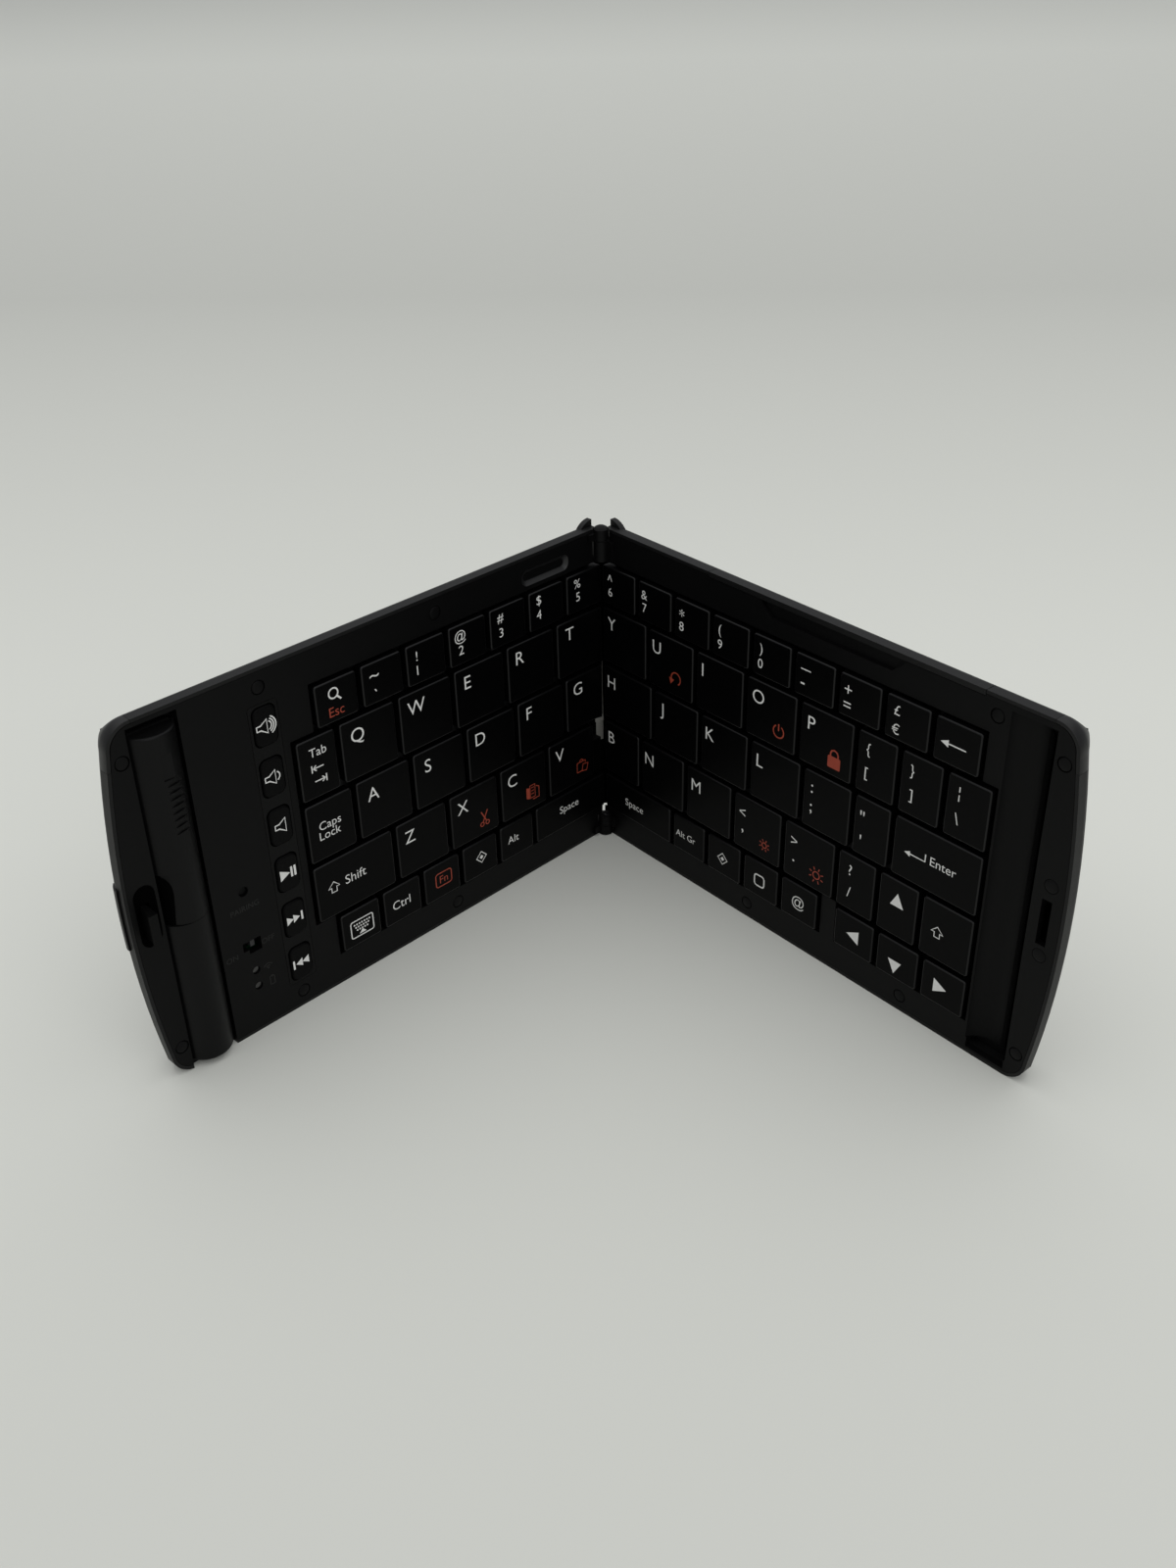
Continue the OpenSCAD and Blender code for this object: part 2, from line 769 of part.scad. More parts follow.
module battery_cover() {
    left_half() color(case_black) difference() {
        tube_half(fixed_tube_l, cover_end + 1, true)
            tube_form(tube_r, fixed_tube_l + slip, cover_end, 0, 0.6);
        tube_form(tube_bore, fixed_tube_l - 1, cover_end - 1);
        // finger dent on the flank beside the end strip
        difference() {
            translate([tube_x - 2, fixed_tube_l - 1, deck_under - 1])
                cube([2 * tube_r, dent_l + 1, 3 * pad]);
            translate([-0.5, 0, 0]) tube_form(tube_r, fixed_tube_l - 2, cover_end);
        }
        // grip grooves, on the side of the crest towards the keys
        for (i = [0:grooves - 1])
            translate([tube_x, grip_y + i * groove_pitch, tube_z]) rotate([0, -14, 0])
                translate([-2.1, 0, tube_r - 0.35]) cube([4.2, 0.75, 1]);
        // insertion mark
        translate([tube_x - 2.6, cover_end - 11.5, tube_z + tube_r - 0.3]) cube([3.6, 6.5, 1]);
    }
}

module battery_cells() {
    left_half() color("goldenrod") for (i = [0, 1])
        translate([tube_x, cell_start + i * (cell_l + nub_l), tube_z]) rotate([-90, 0, 0]) {
            cylinder(r = cell_r, h = cell_l);
            cylinder(r = 1.9, h = cell_l + nub_l - 0.02);
        }
}

module battery_contacts() {
    nub_end = cell_start + 2 * (cell_l + nub_l);
    plate_y = cover_end - 0.6 - 0.5;
    left_half() color("silver") {
        translate([tube_x, cell_start - spring_l, tube_z]) rotate([-90, 0, 0])
            cylinder(r1 = 4.2, r2 = 2.4, h = spring_l - 0.02);
        translate([tube_x - 3.5, plate_y, tube_z - 3.5]) cube([7, 0.5, 4.8]);
        translate([tube_x, nub_end, tube_z]) rotate([-90, 0, 0])
            cylinder(r = 1.2, h = plate_y - nub_end + 0.1);
    }
}

module release_button() {
    left_half() color("#2a2a2c") intersection() {
        translate([button_proud, 0, 0]) case_body();
        translate([half_length - 1.6, button_y, button_top - button_h])
            cube([4, button_l, button_h]);
    }
}

module latch_hook() {
    base_top = button_top - 0.7;
    base_h = 1.6;
    left_half() color("#303034") {
        translate([hook_x - 0.6, hook_y, base_top - base_h])
            cube([half_length - 1.6 - hook_x + 0.6 - 0.02, hook_l, base_h]);
        translate([hook_x, hook_y, base_top - base_h])
            cube([hook_w, hook_l, hook_reach - base_top + base_h]);
        translate([hook_x, hook_y, hook_reach - lip_t])
            cube([hook_w + lip_w, hook_l, lip_t]);
    }
}

module left_membrane() {
    left_half() color("#c8c8c0") key_sheet(strip_left + strip_w);
}

// ---------------------------------------------------------------- right half

module stand_zone(grow) {
    translate([stand_start - grow, panel_depth - stand_bar - grow, -3 * pad])
        cube([stand_l + 2 * grow, 2 * pad, 4 * pad]);
    translate([stand_start - grow, stand_lip_y - grow, -3 * pad])
        cube([stand_l + 2 * grow, 3 * pad, 3 * pad + stand_lip_z + grow]);
}

module right_base() {
    right_half() color(case_black) {
        difference() {
            union() {
                case_blank();
                stop_rib();
                sheet_posts([[12, 14], [60, 14], [100, 14], [12, 40], [60, 40], [100, 40],
                    [12, 84], [128, 84], [128, 14]]);
            }
            corner_zone(0.08);
            hinge_room();
            stand_zone(touch);
            stand_plate(touch, 5);
        }
    }
}

// Trough that takes the crest of the battery tube: a square pit at the front end, a round
// floor, and a sloping back end
module trough_cut() {
    r = (pow(trough_half, 2) + pow(trough_depth, 2)) / (2 * trough_depth);
    intersection() {
        translate([tube_x, trough_front, deck_z - trough_depth + r]) rotate([-90, 0, 0])
            cylinder(r = r, h = trough_back - trough_front, $fn = 96);
        translate([tube_x - 2 * trough_half, trough_back, deck_z]) rotate([-trough_ramp, 0, 0])
            translate([0, -2 * panel_depth, -panel_depth])
                cube([4 * trough_half, 2 * panel_depth, 2 * panel_depth]);
    }
    translate([tube_x - trough_half + 0.3, trough_front - pit_l, deck_z - trough_depth - 0.2])
        cube([2 * trough_half - 0.6, pit_l + 0.1, pad]);
}

module right_deck() {
    right_half() color(case_black) difference() {
        union() {
            deck_blank(right_rows, deck_bar, right_screws);
            deck_bosses([[57.8, screw_front], [right_well - 20, screw_front]]);
            knuckle(front_right, knuckle_l);
            knuckle_arm(front_right, knuckle_l);
            knuckle(back_right, back_right_l);
            knuckle_arm(back_right, back_right_l);
            translate([right_well - 0.5, plate_edge, plate_under])
                cube([tube_x + trough_half - right_well + 1, panel_depth - 2 * plate_edge - 0.9,
                    deck_under - plate_under + 0.2]);
        }
        pin_bore(front_right - 1, knuckle_l + 2, pin_slip);
        pin_bore(back_right - 1, back_right_l + 2, pin_slip);
        knuckle_room(front_left, knuckle_l);
        knuckle_room(back_left, knuckle_l);
        trough_cut();
        stand_zone(touch);
        // thumb recess in front of the phone stand
        translate([0, 0, deck_z - 1]) linear_extrude(pad)
            polygon([[58, panel_depth + 1], [58.6, panel_depth - 2.2], [62, keys_back + 4.4],
                [99.5, keys_back + 4.4], [102.9, panel_depth - 2.2], [103.5, panel_depth + 1]]);
        // latch slot and the undercut behind its strike edge
        translate([hook_x - release_travel - 0.2, hook_y - 0.6, -2 * pad])
            cube([strike_edge - hook_x + release_travel + 0.2, hook_l + 3.4, 3 * pad]);
        translate([hook_x, hook_y - 0.6, lip_t + 0.1 - hook_reach - 2 * pad])
            cube([strike_edge - hook_x + 1.1, hook_l + 3.4, 2 * pad]);
    }
}

module right_key_plate() {
    right_half() color("#3a3c40") difference() {
        key_plate(right_well - 0.9);
        stem_holes(right_rows, deck_bar);
    }
}

module right_membrane() {
    right_half() color("#c8c8c0") key_sheet(right_well - 1);
}

// Drawer whose front is part of the back edge
module phone_stand() {
    right_half() color("#242426") {
        intersection() {
            case_body();
            stand_zone(0);
        }
        stand_plate(0, stand_plate_l);
    }
}

module stand_plate(grow, length) {
    translate([stand_start + 2 - grow, stand_lip_y - length,
        stand_plate_top - stand_plate_t - grow])
        cube([stand_l - 4 + 2 * grow, length + 0.5, stand_plate_t + 2 * grow]);
}

module feet(outer) {
    color("#101010") for (x = [foot_in, outer], y = [foot_edge, panel_depth - foot_edge])
        translate([x, y, back_z - foot_h]) cylinder(r = foot_r, h = foot_h);
}

// ---------------------------------------------------------------- placing the halves

// Distance from the middle of the standing V to the hinge axis
back_reach = -back_z * cos(swing) - tray_edge * sin(swing);
front_reach = -max(half_length * sin(swing) + deck_z * cos(swing),
    (hook_x + hook_w + lip_w) * sin(swing) + hook_reach * cos(swing));
setback = -(back_reach + front_reach) / 2;

module left_half() {
    translate([0, setback, 0]) rotate([0, 0, swing]) rotate([90, 0, 0]) mirror([1, 0, 0])
        children();
}

module right_half() {
    translate([0, setback, 0]) rotate([0, 0, -swing]) rotate([90, 0, 0]) children();
}

module left_keys(row, first, last) {
    left_half() keys(left_rows, row, first, last);
}

module right_keys(row, first, last) {
    right_half() keys(right_rows, row, first, last);
}

module left_feet() {
    left_half() feet(left_well + left_number_w);
}

module right_feet() {
    right_half() feet(right_well + tube_r);
}

module arrow_keys() {
    right_keys(4, 6, 8);
    right_keys(3, 6, 6);
}

left_base();
left_deck();
left_corner_cap();
left_feet();
left_key_plate();
left_membrane();
left_half() plugs(left_screws);  // left_screw_plugs
control_board();
switch_body();
battery_tube();
battery_cells();
battery_contacts();
status_lights();
media_bezel();
hinge_pins();
right_base();
right_deck();
right_half() corner_cap();  // right_corner_cap
right_feet();
right_key_plate();
right_membrane();
right_half() plugs(right_screws);  // right_screw_plugs
phone_stand();
battery_cover();
switch_knob();
pairing_button();
release_button();
latch_hook();
media_key(5);  // volume_up_key
media_key(4);  // volume_down_key
media_key(3);  // mute_key
media_key(2);  // play_key
media_key(1);  // next_key
media_key(0);  // previous_key
left_keys(0, 0, 6);  // left_number_keys
left_keys(1, 0, 4);  // left_top_keys
left_keys(2, 0, 4);  // left_home_keys
left_keys(3, 1, 4);  // left_low_keys
left_keys(4, 1, 5);  // left_front_keys
left_keys(4, 0, 0);  // left_space_bar
left_keys(1, 5, 5);  // tab_key
left_keys(2, 5, 5);  // caps_key
left_keys(3, 5, 5);  // left_shift_key
right_keys(0, 0, 7);  // right_number_keys
right_keys(1, 0, 7);  // right_top_keys
right_keys(2, 0, 5);  // right_home_keys
right_keys(3, 0, 5);  // right_low_keys
right_keys(4, 1, 4);  // right_front_keys
right_keys(4, 0, 0);  // right_space_bar
right_keys(0, 8, 8);  // backspace_key
right_keys(2, 6, 6);  // enter_key
right_keys(3, 7, 7);  // right_shift_key
arrow_keys();
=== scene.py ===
"""Dresses the folding keyboard: rounded keycaps, printed legends, finishes, light and floor."""

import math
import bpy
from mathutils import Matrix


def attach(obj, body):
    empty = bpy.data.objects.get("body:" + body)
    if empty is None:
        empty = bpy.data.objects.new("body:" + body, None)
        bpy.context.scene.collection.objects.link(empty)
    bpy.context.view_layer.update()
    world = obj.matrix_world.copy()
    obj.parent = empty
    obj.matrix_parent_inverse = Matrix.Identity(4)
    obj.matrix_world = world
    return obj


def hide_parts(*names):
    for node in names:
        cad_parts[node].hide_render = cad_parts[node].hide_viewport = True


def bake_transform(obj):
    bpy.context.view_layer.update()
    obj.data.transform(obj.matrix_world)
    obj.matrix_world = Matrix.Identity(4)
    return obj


bl_info = {
    "name": "Folding Keyboard",
    "version": (1, 0, 0),
    "blender": (4, 5, 0),
    "location": "View3D > Sidebar > Keyboard",
    "description": "Keycaps, legends, finishes and stage of a folding pocket keyboard",
    "category": "Object",
}

import bmesh
import bpy
from bpy.props import BoolProperty, FloatProperty, FloatVectorProperty, PointerProperty
from mathutils import Matrix, Vector

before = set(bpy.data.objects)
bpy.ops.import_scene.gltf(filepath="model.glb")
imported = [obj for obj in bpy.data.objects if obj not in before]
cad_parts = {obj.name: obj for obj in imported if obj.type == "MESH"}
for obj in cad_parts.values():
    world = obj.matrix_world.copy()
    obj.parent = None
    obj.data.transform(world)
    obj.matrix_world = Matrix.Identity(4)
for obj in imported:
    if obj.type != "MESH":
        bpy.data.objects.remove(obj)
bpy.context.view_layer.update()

MM = 0.001
SWING = math.radians(47.3)   # each half stands this far back from the straight line
SETBACK = 52.4681            # hinge axis behind the middle, in mm

# A half is drawn in mm, lying flat before the typist: x to the right from the split,
# y from the front edge to the back edge, z up from the hinge axis.
CAP_TOP = -0.2
MEDIA_TOP = -0.7
DECK = -1.2
CAP_BOTTOM = -2.6
STEM_BOTTOM = -6.1
INK = 0.03                   # half the thickness of the printing, most of it sunk in
BACK_EDGE = 98
TUBE_X = 137.4               # middle of the battery tube and of its trough, out from the split
MEDIA_X = -110.25            # middle of the media keys
CAP_GAP = 0.8                # from the edge of a key's cell to its cap
SPLIT_GAP = 0.15             # the same beside the split
WIDE_KEY = 22                # a wider key stands on two stems
LETTER, SMALL, FIGURE = 3.7, 2.3, 2.55       # height of the capitals


# ---- sizes and colours


def tint(name, description, default):
    return FloatVectorProperty(
        name=name, description=description, default=default,
        size=3, subtype="COLOR", min=0, max=1)


class KeyboardSizes(bpy.types.PropertyGroup):
    """Sizes of the dressed details"""

    corner: FloatProperty(
        name="Keycap corner", description="Radius of a keycap's corners in plan",
        default=0.7 * MM, min=0.1 * MM, unit="LENGTH")
    edge: FloatProperty(
        name="Keycap edge", description="Width of the rounded edge round a keycap's top",
        default=0.36 * MM, min=0.05 * MM, unit="LENGTH")
    weight: FloatProperty(
        name="Letter weight", description="How far the lettering is thickened",
        default=-0.004, soft_min=-0.02, soft_max=0.06)
    lens: FloatProperty(
        name="Lens", description="Focal length on a 36 mm sensor",
        default=34.963, unit="CAMERA")


class KeyboardColours(bpy.types.PropertyGroup):
    """Colours of the plastics and the printing"""

    case: tint("Case", "Matte plastic of the case and the deck", (0.0030, 0.0030, 0.0031))
    keys: tint("Keys", "Satin plastic of the keycaps", (0.0009, 0.0009, 0.0010))
    legend: tint("Legends", "White printing of the keys", (0.72, 0.72, 0.70))
    accent: tint(
        "Second legends", "Brick red printing of the second functions", (0.30, 0.045, 0.022))
    floor: tint("Floor", "Pale floor under the keyboard", (0.60, 0.606, 0.565))
    grain: BoolProperty(
        name="Grain", description="Fine texture on the plastics", default=True)


def sizes():
    return bpy.context.scene.keyboard_sizes


def colours():
    return bpy.context.scene.keyboard_colours


# ---- materials


def maths(operation, swapped=False):
    """A method that feeds a wire and its operand to one Math node"""
    def method(self, *operand):
        values = (*operand, self) if swapped else (self, *operand)
        return self.finish.node("ShaderNodeMath", {"operation": operation}, *values)
    return method


class Wire:
    """A shader socket that Python arithmetic extends with Math nodes"""

    def __init__(self, finish, socket):
        self.finish = finish
        self.socket = socket

    __add__ = __radd__ = maths("ADD")
    __mul__ = maths("MULTIPLY")
    __sub__ = maths("SUBTRACT")
    __rsub__ = maths("SUBTRACT", swapped=True)
    __truediv__ = maths("DIVIDE")
    __gt__ = maths("GREATER_THAN")
    __lt__ = maths("LESS_THAN")
    __abs__ = maths("ABSOLUTE")
    fraction = maths("FRACT")
    most = maths("MAXIMUM")


class Finish:
    """One procedural material under construction"""

    def __init__(self, name, **constants):
        self.material = bpy.data.materials.new(name)
        self.material.use_nodes = True
        self.tree = self.material.node_tree
        self.shader = self.tree.nodes["Principled BSDF"]
        self.set(**constants)

    def _feed(self, target, value):
        if isinstance(value, Wire):
            self.tree.links.new(value.socket, target)
        else:
            target.default_value = value

    def node(self, kind, settings=None, *values, out=0, **named):
        """Adds a node: its settings first, then its sockets by order or by name"""
        made = self.tree.nodes.new(kind)
        for key, value in (settings or {}).items():
            setattr(made, key, value)
        for index, value in enumerate(values):
            self._feed(made.inputs[index], value)
        for key, value in named.items():
            self._feed(made.inputs[key.replace("_", " ")], value)
        return Wire(self, made.outputs[out])

    def set(self, **sockets):
        for socket, value in sockets.items():
            self._feed(self.shader.inputs[socket.replace("_", " ")], value)
        return self

    def place(self, scale=(1, 1, 1), turn=(0, 0, 0)):
        """Object coordinates in metres, scaled and turned"""
        here = self.node("ShaderNodeTexCoord", out="Object")
        return self.node("ShaderNodeMapping", None, here, (0, 0, 0), turn, scale)

    def axis(self, number, where=None):
        """One coordinate, in metres"""
        return self.node("ShaderNodeSeparateXYZ", None, where or self.place(), out=number)

    def noise(self, scale, detail=2, where=None):
        return self.node(
            "ShaderNodeTexNoise", None, out="Fac",
            Vector=where or self.place(), Scale=scale, Detail=detail)

    def grain(self, scale):
        """Closed pebbles of a spark-eroded mould, 0 at the rims and 1 on the crowns"""
        cells = self.node(
            "ShaderNodeTexVoronoi", {"feature": "SMOOTH_F1"}, out="Distance",
            Vector=self.place(), Scale=scale, Smoothness=0.6)
        return 1 - cells

    def mix(self, factor, a, b):
        made = self.tree.nodes.new("ShaderNodeMix")
        made.data_type = "RGBA"
        for socket, value in (("Factor_Float", factor), ("A_Color", a), ("B_Color", b)):
            target = next(s for s in made.inputs if s.identifier == socket)
            self._feed(target, (*value, 1) if isinstance(value, tuple) else value)
        return Wire(self, next(s for s in made.outputs if s.identifier == "Result_Color"))

    def ramp(self, factor, stops):
        """Grey tones between stops, each a place and a brightness"""
        made = self.node("ShaderNodeValToRGB", None, factor)
        tones = made.socket.node.color_ramp.elements
        while len(tones) < len(stops):
            tones.new(0.5)
        for tone, (place, bright) in zip(tones, stops):
            tone.position = place
            tone.color = (bright, bright, bright, 1)
        return made

    def bump(self, height, depth, strength=1.0):
        """Relief of that depth in metres"""
        return self.set(Normal=self.node(
            "ShaderNodeBump", None, Height=height, Distance=depth, Strength=strength))


def shade(colour, amount):
    """A colour, or the one of that name in the sidebar, made lighter or darker"""
    if isinstance(colour, str):
        colour = getattr(colours(), colour)
    return tuple(min(1.0, c * amount) for c in colour)


def moulded(name, colour, roughness, grain_scale, depth, shine):
    """Moulded plastic: fine eroded grain, faint handling marks, slightly uneven gloss"""
    colour = shade(*colour)
    finish = Finish(name, IOR=1.5, Specular_IOR_Level=shine)
    broad = finish.noise(38, 3)
    fine = finish.noise(900, 2)
    finish.set(
        Base_Color=finish.mix(broad * 0.6 + fine * 0.4, shade(colour, 0.86), shade(colour, 1.16)),
        Roughness=roughness - 0.05 + broad * 0.07 + fine * 0.04)
    if colours().grain:
        finish.bump(finish.grain(grain_scale) + fine * 0.3, depth, 0.6)
    return finish


def printing(name, colour, roughness):
    """Pad-printed ink: a little uneven in cover, with the grain of the plastic under it"""
    colour = shade(*colour)
    finish = Finish(name, Specular_IOR_Level=0.35)
    cover = finish.noise(1400, 3)
    finish.set(
        Base_Color=finish.mix(cover, shade(colour, 0.88), shade(colour, 1.06)),
        Roughness=roughness + cover * 0.12)
    return finish.bump(finish.noise(3200, 1), 0.00001, 0.4)


def speckled(name, noise, dark, light, rough, relief, constants):
    """One noise that mixes two tones and carries the roughness and the relief"""
    finish = Finish(name, **constants)
    scale, detail, stretch = noise
    speck = finish.noise(scale, detail, finish.place(stretch))
    finish.set(Base_Color=finish.mix(speck, dark, light), Roughness=rough[0] + speck * rough[1])
    return finish.bump(speck, *relief)


def sheet_steel(name):
    """Rolled steel sheet: streaks along the rolling direction and faint tarnish"""
    finish = Finish(name, Metallic=1.0)
    streaks = finish.noise(1.0, 3, finish.place((90, 90, 2600)))
    tarnish = finish.noise(60, 4)
    finish.set(
        Base_Color=finish.mix(tarnish, (0.035, 0.036, 0.038), (0.060, 0.060, 0.062)),
        Roughness=0.34 + streaks * 0.16)
    return finish.bump(streaks, 0.00002, 0.5)


def switch_film(name):
    """Milky switch film with rows of printed silver tracks"""
    finish = Finish(name, IOR=1.45)
    tracks = (abs((finish.axis(2) * 340).fraction() - 0.5) < 0.13)
    cloud = finish.noise(240, 2)
    finish.set(
        Base_Color=finish.mix(tracks, (0.58, 0.58, 0.53), (0.33, 0.34, 0.35)),
        Roughness=0.32 + cloud * 0.14 + tracks * 0.12)
    return finish.bump(tracks, 0.00003, 0.5)


def circuit_board(name):
    """Solder mask over copper runs with tinned pads"""
    finish = Finish(name, IOR=1.5)
    where = finish.place(turn=(0, 0, SWING))
    across, along = finish.axis(0, where), finish.axis(2, where)
    runs = (abs((across * 780).fraction() - 0.5) < 0.16) * (finish.noise(190, 1) > 0.46)
    pads = ((abs((along * 420).fraction() - 0.5) < 0.2)
            * (abs((across * 420).fraction() - 0.5) < 0.2) * (finish.noise(120, 1) > 0.56))
    green = finish.mix(runs, (0.006, 0.050, 0.020), (0.014, 0.105, 0.038))
    finish.set(
        Base_Color=finish.mix(pads, green, (0.55, 0.55, 0.52)),
        Metallic=pads * 0.9, Roughness=0.30 + finish.noise(500, 2) * 0.16)
    return finish.bump(runs.most(pads), 0.00004, 0.6)


def cell_sleeve(name):
    """Shrink sleeve of a plain cell: dark body, copper shoulder, bright ends"""
    finish = Finish(name, IOR=1.5)
    turn = ((finish.axis(2) - 0.0027) / 0.0443).fraction()
    shoulder = turn > 0.76
    ends = (turn > 0.975).most(turn < 0.02)
    wear = finish.noise(420, 3)
    sleeve = finish.mix(shoulder, (0.016, 0.018, 0.024), (0.42, 0.19, 0.07))
    finish.set(
        Base_Color=finish.mix(ends, sleeve, (0.60, 0.60, 0.58)),
        Metallic=shoulder.most(ends) * 0.85, Roughness=0.26 + wear * 0.16)
    return finish.bump(ends + wear * 0.15, 0.00008, 0.5)


def floor_paper(name):
    """Pale paper, in a tone that changes a little from the front to the far end: painted light and
    shade, bands that stand in for the uneven fall of the lamplight
    """
    finish = Finish(name, Specular_IOR_Level=0.2)
    # painted light and shade along the floor: brighter and darker bands by distance
    tone = finish.ramp((finish.axis(1) + 0.6) * 0.35, (
        (0.0, 0.98), (0.15, 1.01), (0.225, 1.14), (0.26, 1.12), (0.336, 1.0), (0.4515, 0.85),
        (0.8855, 1.12)))
    speck = finish.noise(70, 2)
    return finish.set(
        Base_Color=finish.node(
            "ShaderNodeVectorMath", {"operation": "MULTIPLY"}, tone, tuple(colours().floor)),
        Roughness=0.75 + speck * 0.1)


FINISHES = {
    # Colour and its strength, roughness, grain, depth of the grain in metres, shine
    "case_plastic": (moulded, ("case", 1), 0.46, 5200, 0.00004, 0.22),
    "cap_plastic": (moulded, ("case", 1.1), 0.34, 6000, 0.00003, 0.25),
    "deck_plastic": (moulded, ("case", 0.8), 0.40, 6400, 0.00003, 0.095),
    "tube_plastic": (moulded, ("case", 1), 0.36, 6000, 0.00003, 0.12),
    "trim_plastic": (moulded, ("case", 1), 0.38, 6000, 0.00003, 0.24),
    # lighter, shinier copy of the case plastic: a painted highlight on the finger recess's rim
    "rim_plastic": (moulded, ("case", 2.2), 0.38, 6000, 0.00002, 0.4),
    "inner_plastic": (moulded, ("case", 0.5), 0.52, 5000, 0.00004, 0.1),
    # darker, duller copies of the case plastic: painted shade on the edges of the media keys and up
    # the trough's wall
    "dim_plastic": (moulded, ("case", 0.45), 0.5, 6400, 0.00003, 0.05),
    "dimmer_plastic": (moulded, ("case", 0.3), 0.6, 6400, 0.00003, 0.03),
    "key_plastic": (moulded, ("keys", 1), 0.32, 7600, 0.00002, 0.06),
    # lighter, shinier copy of the key plastic on the sloping edges of the keycaps: a painted
    # highlight
    "key_edge_plastic": (moulded, ("keys", 2.4), 0.34, 7600, 0.00001, 0.27),
    "media_key_plastic": (moulded, ("keys", 1.2), 0.36, 7600, 0.00002, 0.07),
    "bezel_plastic": (moulded, ("keys", 1.6), 0.26, 9000, 0.00001, 0.12),
    "knob_plastic": (moulded, ((0.022, 0.022, 0.023), 1), 0.40, 6000, 0.00003, 0.3),
    # grey of the ribbon in the window behind the split: partly the ribbon's own colour, partly
    # painted shade of the floor behind
    "ribbon_film": (moulded, ((0.25, 0.245, 0.225), 1), 0.5, 6000, 0.00002, 0.2),
    # near black with little shine: painted shade in recesses, gaps and the split
    "dull_black": (moulded, ((0.0005, 0.0005, 0.0005), 1), 0.8, 5000, 0.00002, 0.02),
    # Colour and its strength, roughness
    "white_print": (printing, ("legend", 1), 0.45),
    "red_print": (printing, ("accent", 1), 0.45),
    "dark_print": (printing, ("case", 0.2), 0.30),
    # Noise, its detail and stretch, two tones, roughness and its spread, relief, constants
    "rubber": (
        speckled, (1500, 4, (1, 1, 1)), (0.010, 0.010, 0.010), (0.020, 0.020, 0.020),
        (0.78, 0.14), (0.00006, 1), {"Specular_IOR_Level": 0.25}),
    "pin_steel": (
        speckled, (1.0, 2, (500, 500, 6000)), (0.46, 0.46, 0.47), (0.60, 0.60, 0.61),
        (0.20, 0.12), (0.000008, 0.5), {"Metallic": 1.0}),
    "nickel": (
        speckled, (2200, 3, (1, 1, 1)), (0.52, 0.50, 0.46), (0.66, 0.64, 0.60),
        (0.18, 0.16), (0.00001, 0.5), {"Metallic": 1.0}),
    "smoked_lens": (
        speckled, (700, 2, (1, 1, 1)), (0.005, 0.005, 0.005), (0.009, 0.009, 0.009),
        (0.16, 0.10), (0.00001, 0.4), {"IOR": 1.49, "Coat_Weight": 0.6, "Coat_Roughness": 0.08}),
    "sheet_steel": (sheet_steel,),
    "switch_film": (switch_film,),
    "circuit_board": (circuit_board,),
    "cell_sleeve": (cell_sleeve,),
    "floor_paper": (floor_paper,),
}
MADE = {}


def finish_of(name):
    """The material of that name, made when it is first asked for"""
    if name not in MADE:
        maker, *numbers = FINISHES[name]
        MADE[name] = maker(name, *numbers).material
    return MADE[name]


# ---- shapes


def half_place(side):
    """From a half lying flat, in mm, to its place in the frame, in metres"""
    turn = SWING if side == "left" else -SWING
    return Matrix.Scale(MM, 4) @ Matrix((
        (math.cos(turn), 0, math.sin(turn), 0),
        (math.sin(turn), 0, -math.cos(turn), SETBACK),
        (0, 1, 0, 0),
        (0, 0, 0, 1)))


def outward(side, distance):
    """x at a distance out from the split"""
    return -distance if side == "left" else distance


def in_scene(bm, name, finishes, smooth=0):
    """Turns a drawing in metres into a piece"""
    mesh = bpy.data.meshes.new(name)
    bm.to_mesh(mesh)
    bm.free()
    for finish in finishes:
        mesh.materials.append(finish_of(finish))
    if smooth:
        mesh.shade_smooth()
        mesh.set_sharp_from_angle(angle=math.radians(smooth))
    piece = bpy.data.objects.new(name, mesh)
    bpy.context.collection.objects.link(piece)
    return piece


def settle(bm, name, side, finishes, body, stands_for=(), smooth=35):
    """Turns a flat drawing in mm into a placed piece that rides on its body"""
    bm.transform(half_place(side))
    piece = in_scene(bm, name, finishes, smooth)
    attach(piece, body)
    if stands_for:
        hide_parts(*stands_for)


def edges_of(verts):
    """The edges at these vertices, each once and always in the same order"""
    return list(dict.fromkeys(edge for vert in verts for edge in vert.link_edges))


def upright(edge):
    a, b = edge.verts
    return abs(a.co.x - b.co.x) < 1e-5 and abs(a.co.y - b.co.y) < 1e-5


def block(bm, x, y, z):
    """A block between two limits each way; returns its vertices"""
    verts = bmesh.ops.create_cube(bm, size=1)["verts"]
    bmesh.ops.scale(bm, vec=(x[1] - x[0], y[1] - y[0], z[1] - z[0]), verts=verts)
    bmesh.ops.translate(
        bm, vec=((x[0] + x[1]) / 2, (y[0] + y[1]) / 2, (z[0] + z[1]) / 2), verts=verts)
    return verts


def bevel(bm, edges, width, segments):
    bmesh.ops.bevel(
        bm, geom=edges, offset=width, offset_type="OFFSET", segments=segments,
        profile=0.5, affect="EDGES", material=-1)


def sheet(bm, rows, left_out=lambda i, k: False):
    """Faces between neighbouring rows of vertices, by row and place in the row"""
    return {
        (i, k): bm.faces.new((low[k], low[k + 1], high[k + 1], high[k]))
        for i, (low, high) in enumerate(zip(rows, rows[1:]))
        for k in range(len(low) - 1) if not left_out(i, k)}


def face_out(bm):
    bmesh.ops.recalc_face_normals(bm, faces=list(bm.faces))


def cap_top(bm, x, y, height):
    """The largest level face at that height within the limits of a cap"""
    def fits(face):
        middle = face.calc_center_median()
        return (face.normal.z > 0.99 and abs(middle.z - height) < 1e-4
                and x[0] < middle.x < x[1] and y[0] < middle.y < y[1])
    return max(filter(fits, bm.faces), key=lambda face: face.calc_area())


